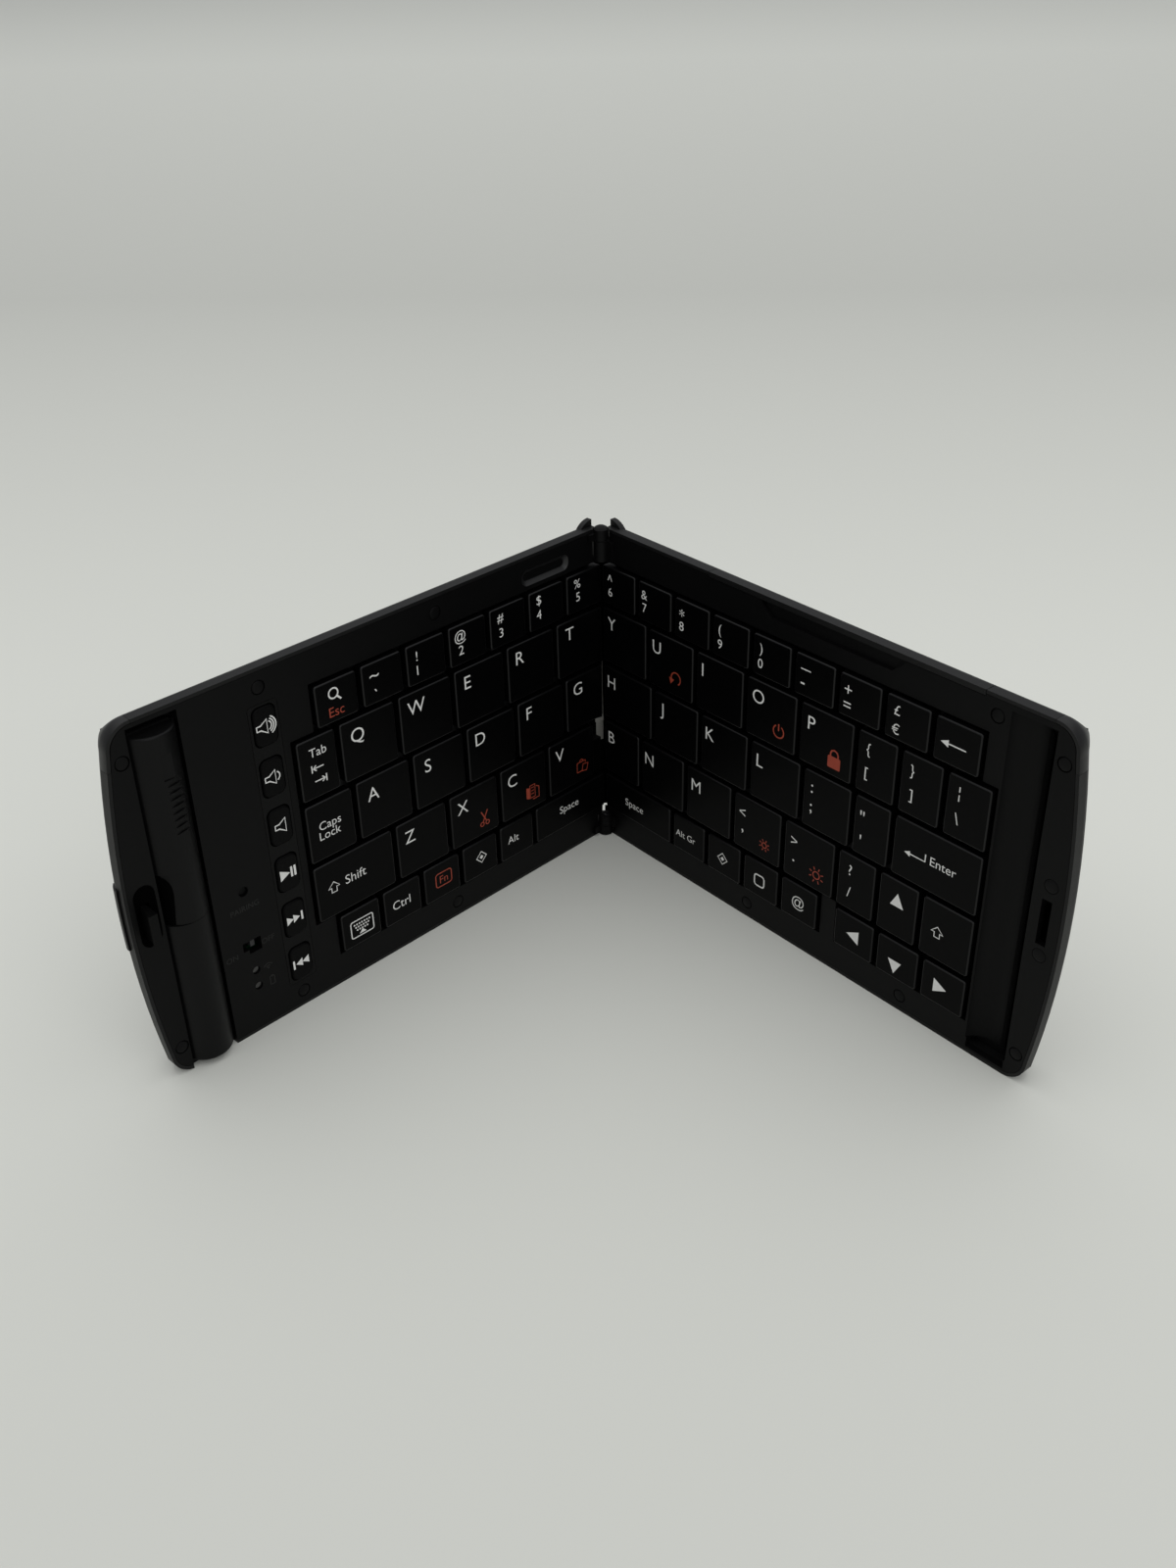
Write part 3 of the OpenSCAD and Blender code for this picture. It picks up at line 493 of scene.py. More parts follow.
def keycap(bm, x, y, corner, edge, z=(CAP_BOTTOM, CAP_TOP)):
    """A keycap with rounded corners, a softened top edge and a flat top; its sloping faces take the
    second material
    """
    verts = block(bm, x, y, z)
    bevel(bm, [e for e in edges_of(verts) if upright(e)], corner, 4)
    bevel(bm, list(cap_top(bm, x, y, z[1]).edges), edge, 3)
    bmesh.ops.inset_region(bm, faces=[cap_top(bm, x, y, z[1])], thickness=0.12, depth=0)
    bm.normal_update()
    # sloping faces take the second material: a painted highlight on the keys, painted shade on the
    # media keys
    for face in bm.faces:
        if 0.15 < face.normal.z < 0.99:
            face.material_index = 1


def stem(bm, x, y, top=CAP_BOTTOM + 0.2):
    block(bm, (x - 1.5, x + 1.5), (y - 1.5, y + 1.5), (STEM_BOTTOM, top))


# ---- printing


def poured(curve):
    """The mesh of a text or curve that isn't in the scene"""
    holder = bpy.data.objects.new("drawn", curve)
    mesh = bpy.data.meshes.new_from_object(holder)
    bpy.data.objects.remove(holder)
    bpy.data.curves.remove(curve)
    return mesh


class Print:
    """Collects the printing of one piece, drawn in mm about a place that moves"""

    capital = None

    def __init__(self, surface):
        self.bm = bmesh.new()
        self.height = surface - INK / 2

    def at(self, x, y):
        self.x, self.y = x, y
        return self

    def _take(self, mesh, dx, dy, squash=1):
        mesh.transform(Matrix.Translation((self.x + dx, self.y + dy, self.height))
                       @ Matrix.Diagonal((1, 1, squash, 1)))
        self.bm.from_mesh(mesh)
        bpy.data.meshes.remove(mesh)

    @staticmethod
    def _words(words, size):
        curve = bpy.data.curves.new("words", "FONT")
        curve.body = words
        curve.size = size
        curve.extrude = INK
        curve.offset = sizes().weight * size
        curve.resolution_u = 4
        curve.space_line = 0.9
        return poured(curve)

    def text(self, words, height=LETTER):
        """Words about the place; plain words keep a common baseline"""
        if Print.capital is None:
            sample = Print._words("H", 1)
            Print.capital = max(v.co.y for v in sample.vertices)
            bpy.data.meshes.remove(sample)
        mesh = Print._words(words, height / Print.capital)
        xs = [v.co.x for v in mesh.vertices]
        ys = [v.co.y for v in mesh.vertices]
        plain = words.replace(" ", "").isalnum()
        middle = height / 2 if plain else (min(ys) + max(ys)) / 2
        self._take(mesh, -(min(xs) + max(xs)) / 2, -middle)

    @staticmethod
    def _stroke(curve, points, closed):
        spline = curve.splines.new("POLY")
        spline.points.add(len(points) - 1)
        for point, (x, y) in zip(spline.points, points):
            point.co = (x, y, 0, 1)
        spline.use_cyclic_u = closed
        return poured(curve)

    def line(self, points, width, dx=0, dy=0, closed=False):
        """A stroke of even width with round ends"""
        curve = bpy.data.curves.new("line", "CURVE")
        curve.dimensions = "3D"
        curve.bevel_depth = width / 2
        curve.bevel_resolution = 2
        curve.use_fill_caps = True
        self._take(self._stroke(curve, points, closed), dx, dy, 2 * INK / width)

    def patch(self, points, dx=0, dy=0):
        """A filled outline"""
        curve = bpy.data.curves.new("patch", "CURVE")
        curve.dimensions = "2D"
        curve.fill_mode = "BOTH"
        curve.extrude = INK
        self._take(self._stroke(curve, points, True), dx, dy)

    def ring(self, radius, width, dx=0, dy=0, start=0, stop=360):
        whole = stop - start >= 360
        count = max(6, int(abs(stop - start) / 15))
        points = [
            (radius * math.cos(math.radians(start + (stop - start) * i / count)),
             radius * math.sin(math.radians(start + (stop - start) * i / count)))
            for i in range(count if whole else count + 1)]
        self.line(points, width, dx, dy, closed=whole)

    def settle(self, name, side, finish, body, slot):
        settle(self.bm, name, side, [finish], body, smooth=0)


def rounded(w, h, r, count=4):
    """Corner points of a rounded rectangle about the origin"""
    points = []
    for cx, cy, start in ((w / 2 - r, h / 2 - r, 0), (r - w / 2, h / 2 - r, 90),
                          (r - w / 2, r - h / 2, 180), (w / 2 - r, r - h / 2, 270)):
        for i in range(count + 1):
            a = math.radians(start + 90 * i / count)
            points.append((cx + r * math.cos(a), cy + r * math.sin(a)))
    return points


# Symbols: each draws itself about the print's place


def magnifier(p):
    p.ring(1.35, 0.5, -0.35, 0.45)
    p.line([(0.6, -0.55), (1.75, -1.75)], 0.62)


def backspace_arrow(p):
    p.line([(3.5, 0), (-1.6, 0)], 0.42)
    p.patch([(-3.5, 0), (-1.315, -0.95), (-1.315, 0.95)])


def tab_arrows(p):
    for dy, way in ((1.85, -1), (-1.75, 1)):
        p.line([(-1.5 * way, 0), (1.3 * way, 0)], 0.4, 0, dy)
        p.line([(0.7 * way, 0.75), (1.6 * way, 0), (0.7 * way, -0.75)], 0.4, 0, dy)
        p.line([(1.95 * way, 1.0), (1.95 * way, -1.0)], 0.42, 0, dy)


def shift_arrow(p):
    p.line([(0, 1.6), (1.75, -0.1), (0.8, -0.1), (0.8, -1.5), (-0.8, -1.5), (-0.8, -0.1),
            (-1.75, -0.1)], 0.42, closed=True)


def board_symbol(p):
    p.line(rounded(7.2, 5.1, 0.6), 0.42, closed=True)
    for count, dy in ((7, 1.35), (6, 0.45), (5, -0.45)):
        for i in range(count):
            p.patch(rounded(0.5, 0.5, 0.12, 1), (i - (count - 1) / 2) * 0.82, dy)
    p.patch([(0, -0.75), (-1.15, -1.95), (1.15, -1.95)])


def boxed_fn(p):
    p.line(rounded(5.5, 4.3, 0.8), 0.42, closed=True)
    p.text("Fn", 2.3)


def diamond(p):
    p.line([(0, 1.8), (1.8, 0), (0, -1.8), (-1.8, 0)], 0.45, closed=True)
    p.patch([(0, 0.7), (-0.7, 0), (0, -0.7), (0.7, 0)])


def round_square(p):
    p.line(rounded(3.5, 3.5, 0.9), 0.55, closed=True)


def enter_arrow(p):
    p.line([(3.0, 2.1), (3.0, 0), (-1.9, 0)], 0.46)
    p.patch([(-3.2, 0), (-1.5, 0.8), (-1.5, -0.8)])


def triangle(p, turn):
    c, s = math.cos(math.radians(turn)), math.sin(math.radians(turn))
    p.patch([(a * c - b * s, a * s + b * c)
             for a, b in ((0, 1.95), (-2.05, -1.95), (2.05, -1.95))])


def undo(p):
    p.ring(1.75, 0.5, start=-60, stop=215)
    p.patch([(-2.6, -0.2), (-0.6, -0.5), (-1.9, -2.1)])


def power(p):
    p.ring(1.75, 0.5, 0, -0.1, start=-240, stop=60)
    p.line([(0, 2.1), (0, 0.1)], 0.55)


def padlock(p):
    p.patch(rounded(4.0, 3.3, 0.35), 0, -1.0)
    p.line([(-1.2, 0.5), (-1.2, 1.4), (-0.85, 2.15), (0, 2.5), (0.85, 2.15), (1.2, 1.4),
            (1.2, 0.5)], 0.6)


def sun(p, scale):
    p.ring(0.95 * scale, 0.42)
    for i in range(8):
        a = math.radians(45 * i + 22.5)
        p.line([(1.45 * scale * math.cos(a), 1.45 * scale * math.sin(a)),
                (2.2 * scale * math.cos(a), 2.2 * scale * math.sin(a))], 0.4)


def scissors(p):
    for way in (-1, 1):
        p.ring(0.62, 0.38, way * 0.95, -1.75)
        p.line([(way * 0.6, -1.1), (-way * 1.15, 2.3)], 0.46)


def copies(p):
    p.patch([(-2.4, 2.1), (-2.4, -1.4), (-1.2, -1.9), (-1.2, 1.7)])
    p.line([(-1.0, 2.3), (0.9, 2.3), (0.9, -1.7), (-1.0, -1.7)], 0.4, closed=True)
    for i in range(3):
        p.line([(-0.6, 1.5 - i), (0.5, 1.5 - i)], 0.3)
    p.line([(1.3, 1.5), (2.4, 0.9), (2.4, -2.4), (0.0, -2.4)], 0.4)


def clipboard(p):
    p.line([(-2.1, 1.3), (-2.1, -1.8), (0.2, -1.8)], 0.42)
    p.line([(-2.1, 1.3), (1.2, 1.3), (1.2, 0.6)], 0.42)
    p.line([(-1.2, 1.6), (-0.4, 2.2), (0.4, 1.6)], 0.4)
    p.line([(0.3, 0.3), (2.3, -0.1), (1.7, -2.3), (-0.2, -1.9)], 0.42, closed=True)


def speaker(p, waves):
    dx = (0.1, -0.55, -0.75)[min(waves, 2)]
    p.line([(-1.5, 0.55), (-0.5, 0.55), (1.1, 1.65), (1.1, -1.65), (-0.5, -0.55), (-1.5, -0.55)],
           0.42, dx, closed=True)
    for i in range(waves):
        p.ring(1.15 + 0.55 * i, 0.36, dx + 1.0, start=-62, stop=62)


def play_pause(p):
    p.patch([(-2.1, 1.4), (-2.1, -1.4), (0.5, 0)])
    for dx in (0.95, 1.85):
        p.patch(rounded(0.55, 2.7, 0.08, 1), dx)


def skip(p, way):
    for dx in (-1.2, 0.55):
        p.patch([((dx - 0.95) * way, 1.1), ((dx - 0.95) * way, -1.1), ((dx + 0.85) * way, 0)])
    p.patch(rounded(0.5, 2.4, 0.08, 1), 1.95 * way)


def larger(p, factor, draw, *numbers):
    """Another symbol, drawn larger"""
    x, y = p.x, p.y
    first = len(p.bm.verts)
    draw(p.at(0, 0), *numbers)
    p.bm.verts.ensure_lookup_table()
    for vert in p.bm.verts[first:]:
        vert.co.x = x + vert.co.x * factor
        vert.co.y = y + vert.co.y * factor


# Printing of the keys: words or a symbol, x, y, then the height of the capitals if it isn't
# LETTER, or the symbol's own numbers
LEFT_PRINT = {
    "left_number_keys": [
        (magnifier, -90.8, 83.7), ("~", -78.8, 84.0, 3.6), ("`", -78.8, 80.0, 3.4),
        ("!", -65.4, 84.2, FIGURE), ("1", -65.5, 80.3, FIGURE),
        ("@", -51.1, 84.2, 2.7), ("2", -51.0, 80.5, FIGURE),
        ("#", -37.3, 84.4, FIGURE), ("3", -37.2, 80.4, FIGURE),
        ("$", -23.5, 84.7, FIGURE), ("4", -23.6, 80.7, FIGURE),
        ("%", -9.2, 84.8, FIGURE), ("5", -9.0, 80.9, FIGURE)],
    "left_top_keys": [
        ("Q", -85.6, 70.4), ("W", -66.9, 70.6), ("E", -49.7, 70.7), ("R", -31.2, 70.8),
        ("T", -12.6, 71.0)],
    "tab_key": [("Tab", -97.6, 71.0, SMALL), (tab_arrows, -97.9, 64.8)],
    "left_home_keys": [
        ("A", -82.9, 52.1), ("S", -64.9, 52.3), ("D", -46.7, 52.6), ("F", -28.8, 52.9),
        ("G", -10.0, 53.0)],
    "caps_key": [("Caps", -96.7, 50.1, SMALL), ("Lock", -97.0, 47.3, SMALL)],
    "left_low_keys": [
        ("Z", -72.8, 34.1), ("X", -54.4, 34.3), ("C", -36.2, 34.5), ("V", -17.9, 34.6)],
    "left_shift_key": [(shift_arrow, -98.0, 31.1), ("Shift", -91.1, 31.3, 2.6)],
    "left_front_keys": [
        (board_symbol, -91.0, 14.9), ("Ctrl", -77.7, 15.3, 2.6), (diamond, -49.1, 15.6),
        ("Alt", -37.0, 15.8, 2.3)],
    "left_space_bar": [("Space", -14.8, 16.3, SMALL)],
    "volume_up_key": [(larger, -110.3, 82.9, 1.12, speaker, 3)],
    "volume_down_key": [(larger, -110.3, 69.1, 1.12, speaker, 1)],
    "mute_key": [(larger, -110.3, 55.3, 1.15, speaker, 0)],
    "play_key": [(larger, -110.3, 41.5, 1.1, play_pause)],
    "next_key": [(larger, -110.3, 27.7, 1.1, skip, 1)],
    "previous_key": [(larger, -110.4, 13.9, 1.1, skip, -1)],
}
LEFT_RED = {
    "left_number_keys": [("Esc", -90.7, 79.3, 2.5)],
    "left_low_keys": [(scissors, -47.0, 27.6), (copies, -28.8, 27.6), (clipboard, -9.0, 27.6)],
    "left_front_keys": [(boxed_fn, -62.9, 15.6)],
}
RIGHT_PRINT = {
    "right_number_keys": [
        ("^", 3.2, 84.5, 3.2), ("6", 3.3, 80.3, FIGURE), ("&", 17.0, 84.0, FIGURE),
        ("7", 17.1, 80.3, FIGURE), ("*", 31.5, 83.8, 3.2), ("8", 31.4, 80.0, FIGURE),
        ("(", 45.5, 83.8, 2.6), ("9", 45.6, 80.0, FIGURE), (")", 59.9, 83.7, 2.6),
        ("0", 59.8, 79.9, FIGURE), ("_", 74.8, 83.8, 4.4), ("-", 74.0, 79.9, 3.6),
        ("+", 88.2, 83.8, 3.2), ("=", 88.2, 79.7, 3.2), ("£", 102.9, 84.2, FIGURE),
        ("€", 102.9, 79.3, FIGURE)],
    "backspace_key": [(backspace_arrow, 119.1, 81.7)],
    "right_top_keys": [
        ("Y", 3.7, 70.7), ("U", 22.0, 70.4), ("I", 39.6, 70.4), ("O", 59.7, 70.4),
        ("P", 77.7, 70.2), ("{", 95.7, 70.4, 2.7), ("[", 95.6, 63.8, 2.7),
        ("}", 108.9, 70.3, 2.7), ("]", 109.1, 63.8, 2.7), ("¦", 122.3, 70.4, 2.9),
        ("\\", 122.3, 63.8, 3.0)],
    "right_home_keys": [
        ("H", 3.3, 52.3), ("J", 24.2, 52.3), ("K", 42.8, 52.2), ("L", 61.1, 52.1),
        (":", 79.2, 52.0, 3.6), (";", 79.2, 46.0, 3.6),
        ("\"", 95.6, 52.5, 3.6), ("'", 95.6, 45.6, 3.6)],
    "enter_key": [(enter_arrow, 112.2, 48.2), ("Enter", 120.4, 49.2, 2.4)],
    "right_low_keys": [
        ("B", 3.0, 34.2), ("N", 19.1, 33.9), ("M", 38.0, 33.8), ("<", 55.8, 33.9, 3.1),
        (",", 56.0, 27.9, 3.8), (">", 74.4, 33.9, 3.1), (".", 74.5, 27.8, 3.8),
        ("?", 93.4, 34.4, 3.0), ("/", 93.4, 27.8, 3.1)],
    "right_shift_key": [(shift_arrow, 121.0, 30.5)],
    "right_space_bar": [("Space", 12.6, 15.2, SMALL)],
    "right_front_keys": [
        ("Alt Gr", 34.2, 15.2, 2.0), (diamond, 48.9, 15.1), (round_square, 62.9, 15.0),
        ("@", 77.0, 15.2, 3.1)],
    "arrow_keys": [
        (triangle, 108.5, 33.3, 0), (triangle, 95.8, 15.2, 90), (triangle, 109.6, 13.2, 180),
        (triangle, 123.7, 15.1, -90)],
}
RIGHT_RED = {
    "right_top_keys": [(undo, 29.5, 63.7), (power, 67.0, 63.4), (padlock, 85.5, 63.3)],
    "right_low_keys": [(sun, 64.1, 27.2, 0.85), (sun, 82.5, 27.1, 1.15)],
}


# ---- key layout


# Front edge and depth of each row
NUMBERS, TOP, HOME, LOW, FRONT = (75.7, 12.7), (57.7, 18), (39.7, 18), (21.7, 18), (9, 12.7)
# The row of a node's keys and the edges of their cells, out from the split
LEFT_ROWS = {
    "left_number_keys": (NUMBERS, [0, 13.9, 27.8, 41.7, 55.6, 69.5, 83.4, 97.3]),
    "left_top_keys": (TOP, [0, 18, 36.35, 54.7, 73.05, 91.4]),
    "tab_key": (TOP, [91.4, 104.2]),
    "left_home_keys": (HOME, [0, 15.2, 33.55, 51.9, 70.25, 88.6]),
    "caps_key": (HOME, [88.6, 104.2]),
    "left_low_keys": (LOW, [3.4, 22.8, 41.15, 59.5, 77.85]),
    "left_shift_key": (LOW, [77.85, 104.2]),
    "left_space_bar": (FRONT, [0, 28.6]),
    "left_front_keys": (FRONT, [28.6, 42.5, 56.4, 70.3, 84.2, 98.1]),
}
RIGHT_ROWS = {
    "right_number_keys": (NUMBERS, [0, 14, 28.15, 42.3, 56.45, 70.6, 84.75, 98.9, 113.05]),
    "backspace_key": (NUMBERS, [113.05, 127.2]),
    "right_top_keys": (TOP, [0, 18.3, 36.65, 55, 73.35, 91.7, 104.9, 118.1, 131.5]),
    "right_home_keys": (HOME, [0, 20.5, 38.85, 57.2, 75.55, 92.35, 104.75]),
    "enter_key": (HOME, [104.75, 131.5]),
    "right_low_keys": (LOW, [0, 15.3, 33.65, 52, 70.35, 88.7, 102]),
    "right_shift_key": (LOW, [115.3, 131.5]),
    "right_space_bar": (FRONT, [0, 28.5]),
    "right_front_keys": (FRONT, [28.5, 42.4, 56.3, 70.2, 84.1]),
    "arrow_keys": (FRONT, [88.9, 103.1, 117.3, 131.5]),
}
# The up arrow stands in the row behind the other arrows
UP_ARROW = (102, 115.3)
# Middle of each media key
MEDIA = {
    "previous_key": 13.9, "next_key": 27.7, "play_key": 41.5,
    "mute_key": 55.3, "volume_down_key": 69.1, "volume_up_key": 82.9,
}


def print_keys(side, table, finish, suffix):
    for node, marks in table.items():
        p = Print(MEDIA_TOP if node in MEDIA else CAP_TOP)
        for what, x, y, *numbers in marks:
            p.at(x, y)
            if callable(what):
                what(p, *numbers)
            else:
                p.text(what, *numbers)
        p.settle(node + suffix, side, finish, node, "keys")


def add_key(bm, side, row, start, stop):
    front, depth = row
    limits = (start + (SPLIT_GAP if start == 0 else CAP_GAP), stop - CAP_GAP)
    x = sorted(outward(side, limit) for limit in limits)
    keycap(bm, x, (front + CAP_GAP, front + depth - CAP_GAP),
           sizes().corner / MM, sizes().edge / MM)
    width = stop - start
    for shift in (-width / 4, width / 4) if width > WIDE_KEY else (0,):
        stem(bm, outward(side, (start + stop) / 2 + shift), front + depth / 2)


def make_keys(side, rows):
    for node, (row, cuts) in rows.items():
        bm = bmesh.new()
        for start, stop in zip(cuts, cuts[1:]):
            add_key(bm, side, row, start, stop)
        if node == "arrow_keys":
            add_key(bm, side, LOW, *UP_ARROW)
        settle(bm, node + "_caps", side, ["key_plastic", "key_edge_plastic"], node, [node])


# ---- operators


class KEYBOARD_OT_finishes(bpy.types.Operator):
    """Give every carried-over part its finish"""

    bl_idname = "keyboard.finishes"
    bl_label = "Case finishes"

    PARTS = {
        "case_plastic": ["left_base", "right_base", "phone_stand"],
        "cap_plastic": ["left_corner_cap", "right_corner_cap"],
        "deck_plastic": ["left_deck", "right_deck"],
        "tube_plastic": ["battery_tube", "battery_cover"],
        "trim_plastic": ["left_screw_plugs", "right_screw_plugs", "release_button"],
        "inner_plastic": ["latch_hook", "pairing_button", "switch_body"],
        "knob_plastic": ["switch_knob"],
        "bezel_plastic": ["media_bezel"],
        "rubber": ["left_feet", "right_feet"],
        "sheet_steel": ["left_key_plate", "right_key_plate"],
        "switch_film": ["left_membrane", "right_membrane"],
        "circuit_board": ["control_board"],
        "cell_sleeve": ["battery_cells"],
        "nickel": ["battery_contacts"],
        "smoked_lens": ["status_lights"],
        "pin_steel": ["hinge_pins"],
    }

    def execute(self, context):
        for finish, nodes in self.PARTS.items():
            for node in nodes:
                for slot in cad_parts[node].material_slots:
                    slot.material = finish_of(finish)
        return {"FINISHED"}


class KEYBOARD_OT_left_keys(bpy.types.Operator):
    """Model the keycaps of the left half"""

    bl_idname = "keyboard.left_keys"
    bl_label = "Left keycaps"

    def execute(self, context):
        make_keys("left", LEFT_ROWS)
        return {"FINISHED"}


class KEYBOARD_OT_right_keys(bpy.types.Operator):
    """Model the keycaps of the right half"""

    bl_idname = "keyboard.right_keys"
    bl_label = "Right keycaps"

    def execute(self, context):
        make_keys("right", RIGHT_ROWS)
        return {"FINISHED"}


class KEYBOARD_OT_media_keys(bpy.types.Operator):
    """Model the six media keys"""

    bl_idname = "keyboard.media_keys"
    bl_label = "Media keys"

    WIDTH, LENGTH = 6.2, 10.1
    CORNER, EDGE = 1.8, 0.4

    def execute(self, context):
        for node, y in MEDIA.items():
            bm = bmesh.new()
            keycap(bm, (MEDIA_X - self.WIDTH / 2, MEDIA_X + self.WIDTH / 2),
                   (y - self.LENGTH / 2, y + self.LENGTH / 2),
                   self.CORNER, self.EDGE, (CAP_BOTTOM, MEDIA_TOP))
            stem(bm, MEDIA_X, y, CAP_BOTTOM + 0.1)
            # the sloping edges of the media keys in painted shade
            settle(bm, node + "_cap", "left", ["media_key_plastic", "dim_plastic"],
                   node, [node])
        return {"FINISHED"}


class KEYBOARD_OT_legends(bpy.types.Operator):
    """Print the white and red legends on the keys"""

    bl_idname = "keyboard.legends"
    bl_label = "Key legends"

    def execute(self, context):
        for side, white, red in (("left", LEFT_PRINT, LEFT_RED), ("right", RIGHT_PRINT, RIGHT_RED)):
            print_keys(side, white, "white_print", "_print")
            print_keys(side, red, "red_print", "_red_print")
        return {"FINISHED"}


class KEYBOARD_OT_deck_marks(bpy.types.Operator):
    """Print the dark marks beside the controls"""

    bl_idname = "keyboard.deck_marks"
    bl_label = "Deck marks"

    def execute(self, context):
        p = Print(DECK)
        p.at(-129.0, 25.0).text("ON", 1.5)
        p.at(-118.4, 25.6).text("OFF", 1.5)
        p.at(-123.3, 37.6).text("PAIRING", 1.5)
        p.at(-119.6, 17.2)
        for radius in (0.7, 1.4):
            p.ring(radius, 0.28, start=30, stop=150)
        p.patch(rounded(0.5, 0.5, 0.2))
        p.at(-119.0, 13.0)
        p.line(rounded(1.3, 2.5, 0.2), 0.28, closed=True)
        p.line([(-0.3, 1.5), (0.3, 1.5)], 0.3)
        p.settle("deck_marks", "left", "dark_print", "left_half", "case")
        return {"FINISHED"}


class KEYBOARD_OT_hinge_strip(bpy.types.Operator):
    """Bridge the split behind the keys with a soft strip"""

    bl_idname = "keyboard.hinge_strip"
    bl_label = "Hinge strip"

    REACH = 4.0      # half the width of the strip, in mm
    THICK = 0.3
    BEHIND = 4.41    # from the hinge axis back to the middle of the strip
    BOW = 0.165
    MIDDLE = 8       # columns on each side of the gap in the middle
    # Height, left and right edge of a gap, and what fills the gap above that height
    ROWS = (
        (4.4, -1.15, -0.30, "open"), (6.95, -1.15, -0.26, "open"), (7.0, -1.85, 0.6, "open"),
        (7.95, -1.85, 0.65, "strip"), (30.3, -2.6, -0.50, "ribbon"),
        (36.6, -2.6, -0.46, "ribbon"), (36.65, -2.8, -0.38, "ribbon"),
        (37.5, -2.8, -0.38, "ribbon"), (37.55, -0.80, -0.42, "ribbon"),
        (56.0, -0.58, -0.42, "strip"), (88.0, -0.58, -0.42, "strip"))

    def columns(self, left, right):
        count = self.MIDDLE
        return ([-self.REACH + (left + self.REACH) * i / count for i in range(count + 1)]
                + [right + (self.REACH - right) * i / count for i in range(count + 1)])

    def execute(self, context):
        bm = bmesh.new()
        rows = [
            [bm.verts.new((x * MM, (SETBACK + self.BEHIND - self.BOW * x * x) * MM, z * MM))
             for x in self.columns(left, right)]
            for z, left, right, _ in self.ROWS]
        faces = sheet(bm, rows, lambda i, k: k == self.MIDDLE and self.ROWS[i][3] == "open")
        for i, row in enumerate(self.ROWS):
            if row[3] == "ribbon":
                faces[i, self.MIDDLE].material_index = 1
        face_out(bm)
        bmesh.ops.solidify(bm, geom=list(bm.faces), thickness=self.THICK * MM)
        # the strip is near black and the ribbon grey: partly their own colours, partly painted
        # shade of the split and of the floor seen through it
        piece = in_scene(bm, "hinge_strip", ["dull_black", "ribbon_film"], 40)
        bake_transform(piece)
        return {"FINISHED"}


class KEYBOARD_OT_corner_caps(bpy.types.Operator):
    """Model the rounded caps on the two outer back corners"""

    bl_idname = "keyboard.corner_caps"
    bl_label = "Corner caps"

    START, END = 142.7, 87.6     # where a cap meets the case, out from the split and up
    CENTRE = (142.9, 91.5)
    ARC_CENTRE, ARC_RADIUS = (-122.2, 49), 275   # outer end of the case
    SLOPE = 2.7                  # depth at which the sides start to slope in
    # Depth below the deck and how far the surface is drawn in, round the section of the wall
    SECTION = (
        (0, 0.85), (0, 0.30), (0.08, 0.08), (0.30, 0), (2.7, 0), (3.5, 0), (4.3, 0), (5.1, 0),
        (5.9, 0), (6.8, 0), (6.8, 1.1), (5.1, 1.1), (3.5, 1.0), (2.7, 0.9))

    def outline(self, depth, wall):
        """Plan of the wall at one depth, from the long edge round to the outer end"""
        below = max(0.0, depth - self.SLOPE)
        drawn_in = (below / 6.5) ** 1.5
        radius = self.ARC_RADIUS - (5 * drawn_in + wall)
        back = BACK_EDGE - (6.5 * drawn_in + wall)

        def end_at(w):
            return self.ARC_CENTRE[0] + math.sqrt(radius ** 2 - (w - self.ARC_CENTRE[1]) ** 2)

        cx, cy = self.CENTRE
        wide, high = end_at(cy) - cx, back - cy
        points = [(self.START, back)]
        power = 1 - 0.6 * (below / 4.1) ** 2.2
        for i in range(13):
            a = math.radians(90 - 7.5 * i)
            points.append((cx + wide * max(0.0, math.cos(a)) ** power,
                           cy + high * max(0.0, math.sin(a)) ** power))
        return points + [(end_at(w), w) for w in (90.2, 88.9, self.END)]

    def cap(self, side):
        bm = bmesh.new()
        rows = [
            [bm.verts.new((outward(side, u), w, DECK - depth))
             for u, w in self.outline(depth, wall)]
            for depth, wall in self.SECTION]
        sheet(bm, rows + rows[:1])
        for k in (0, -1):
            bm.faces.new([row[k] for row in rows])
        face_out(bm)
        settle(bm, side + "_corner", side, ["cap_plastic"], side + "_half",
               [side + "_corner_cap"], 30)

    def execute(self, context):
        self.cap("left")
        self.cap("right")
        return {"FINISHED"}


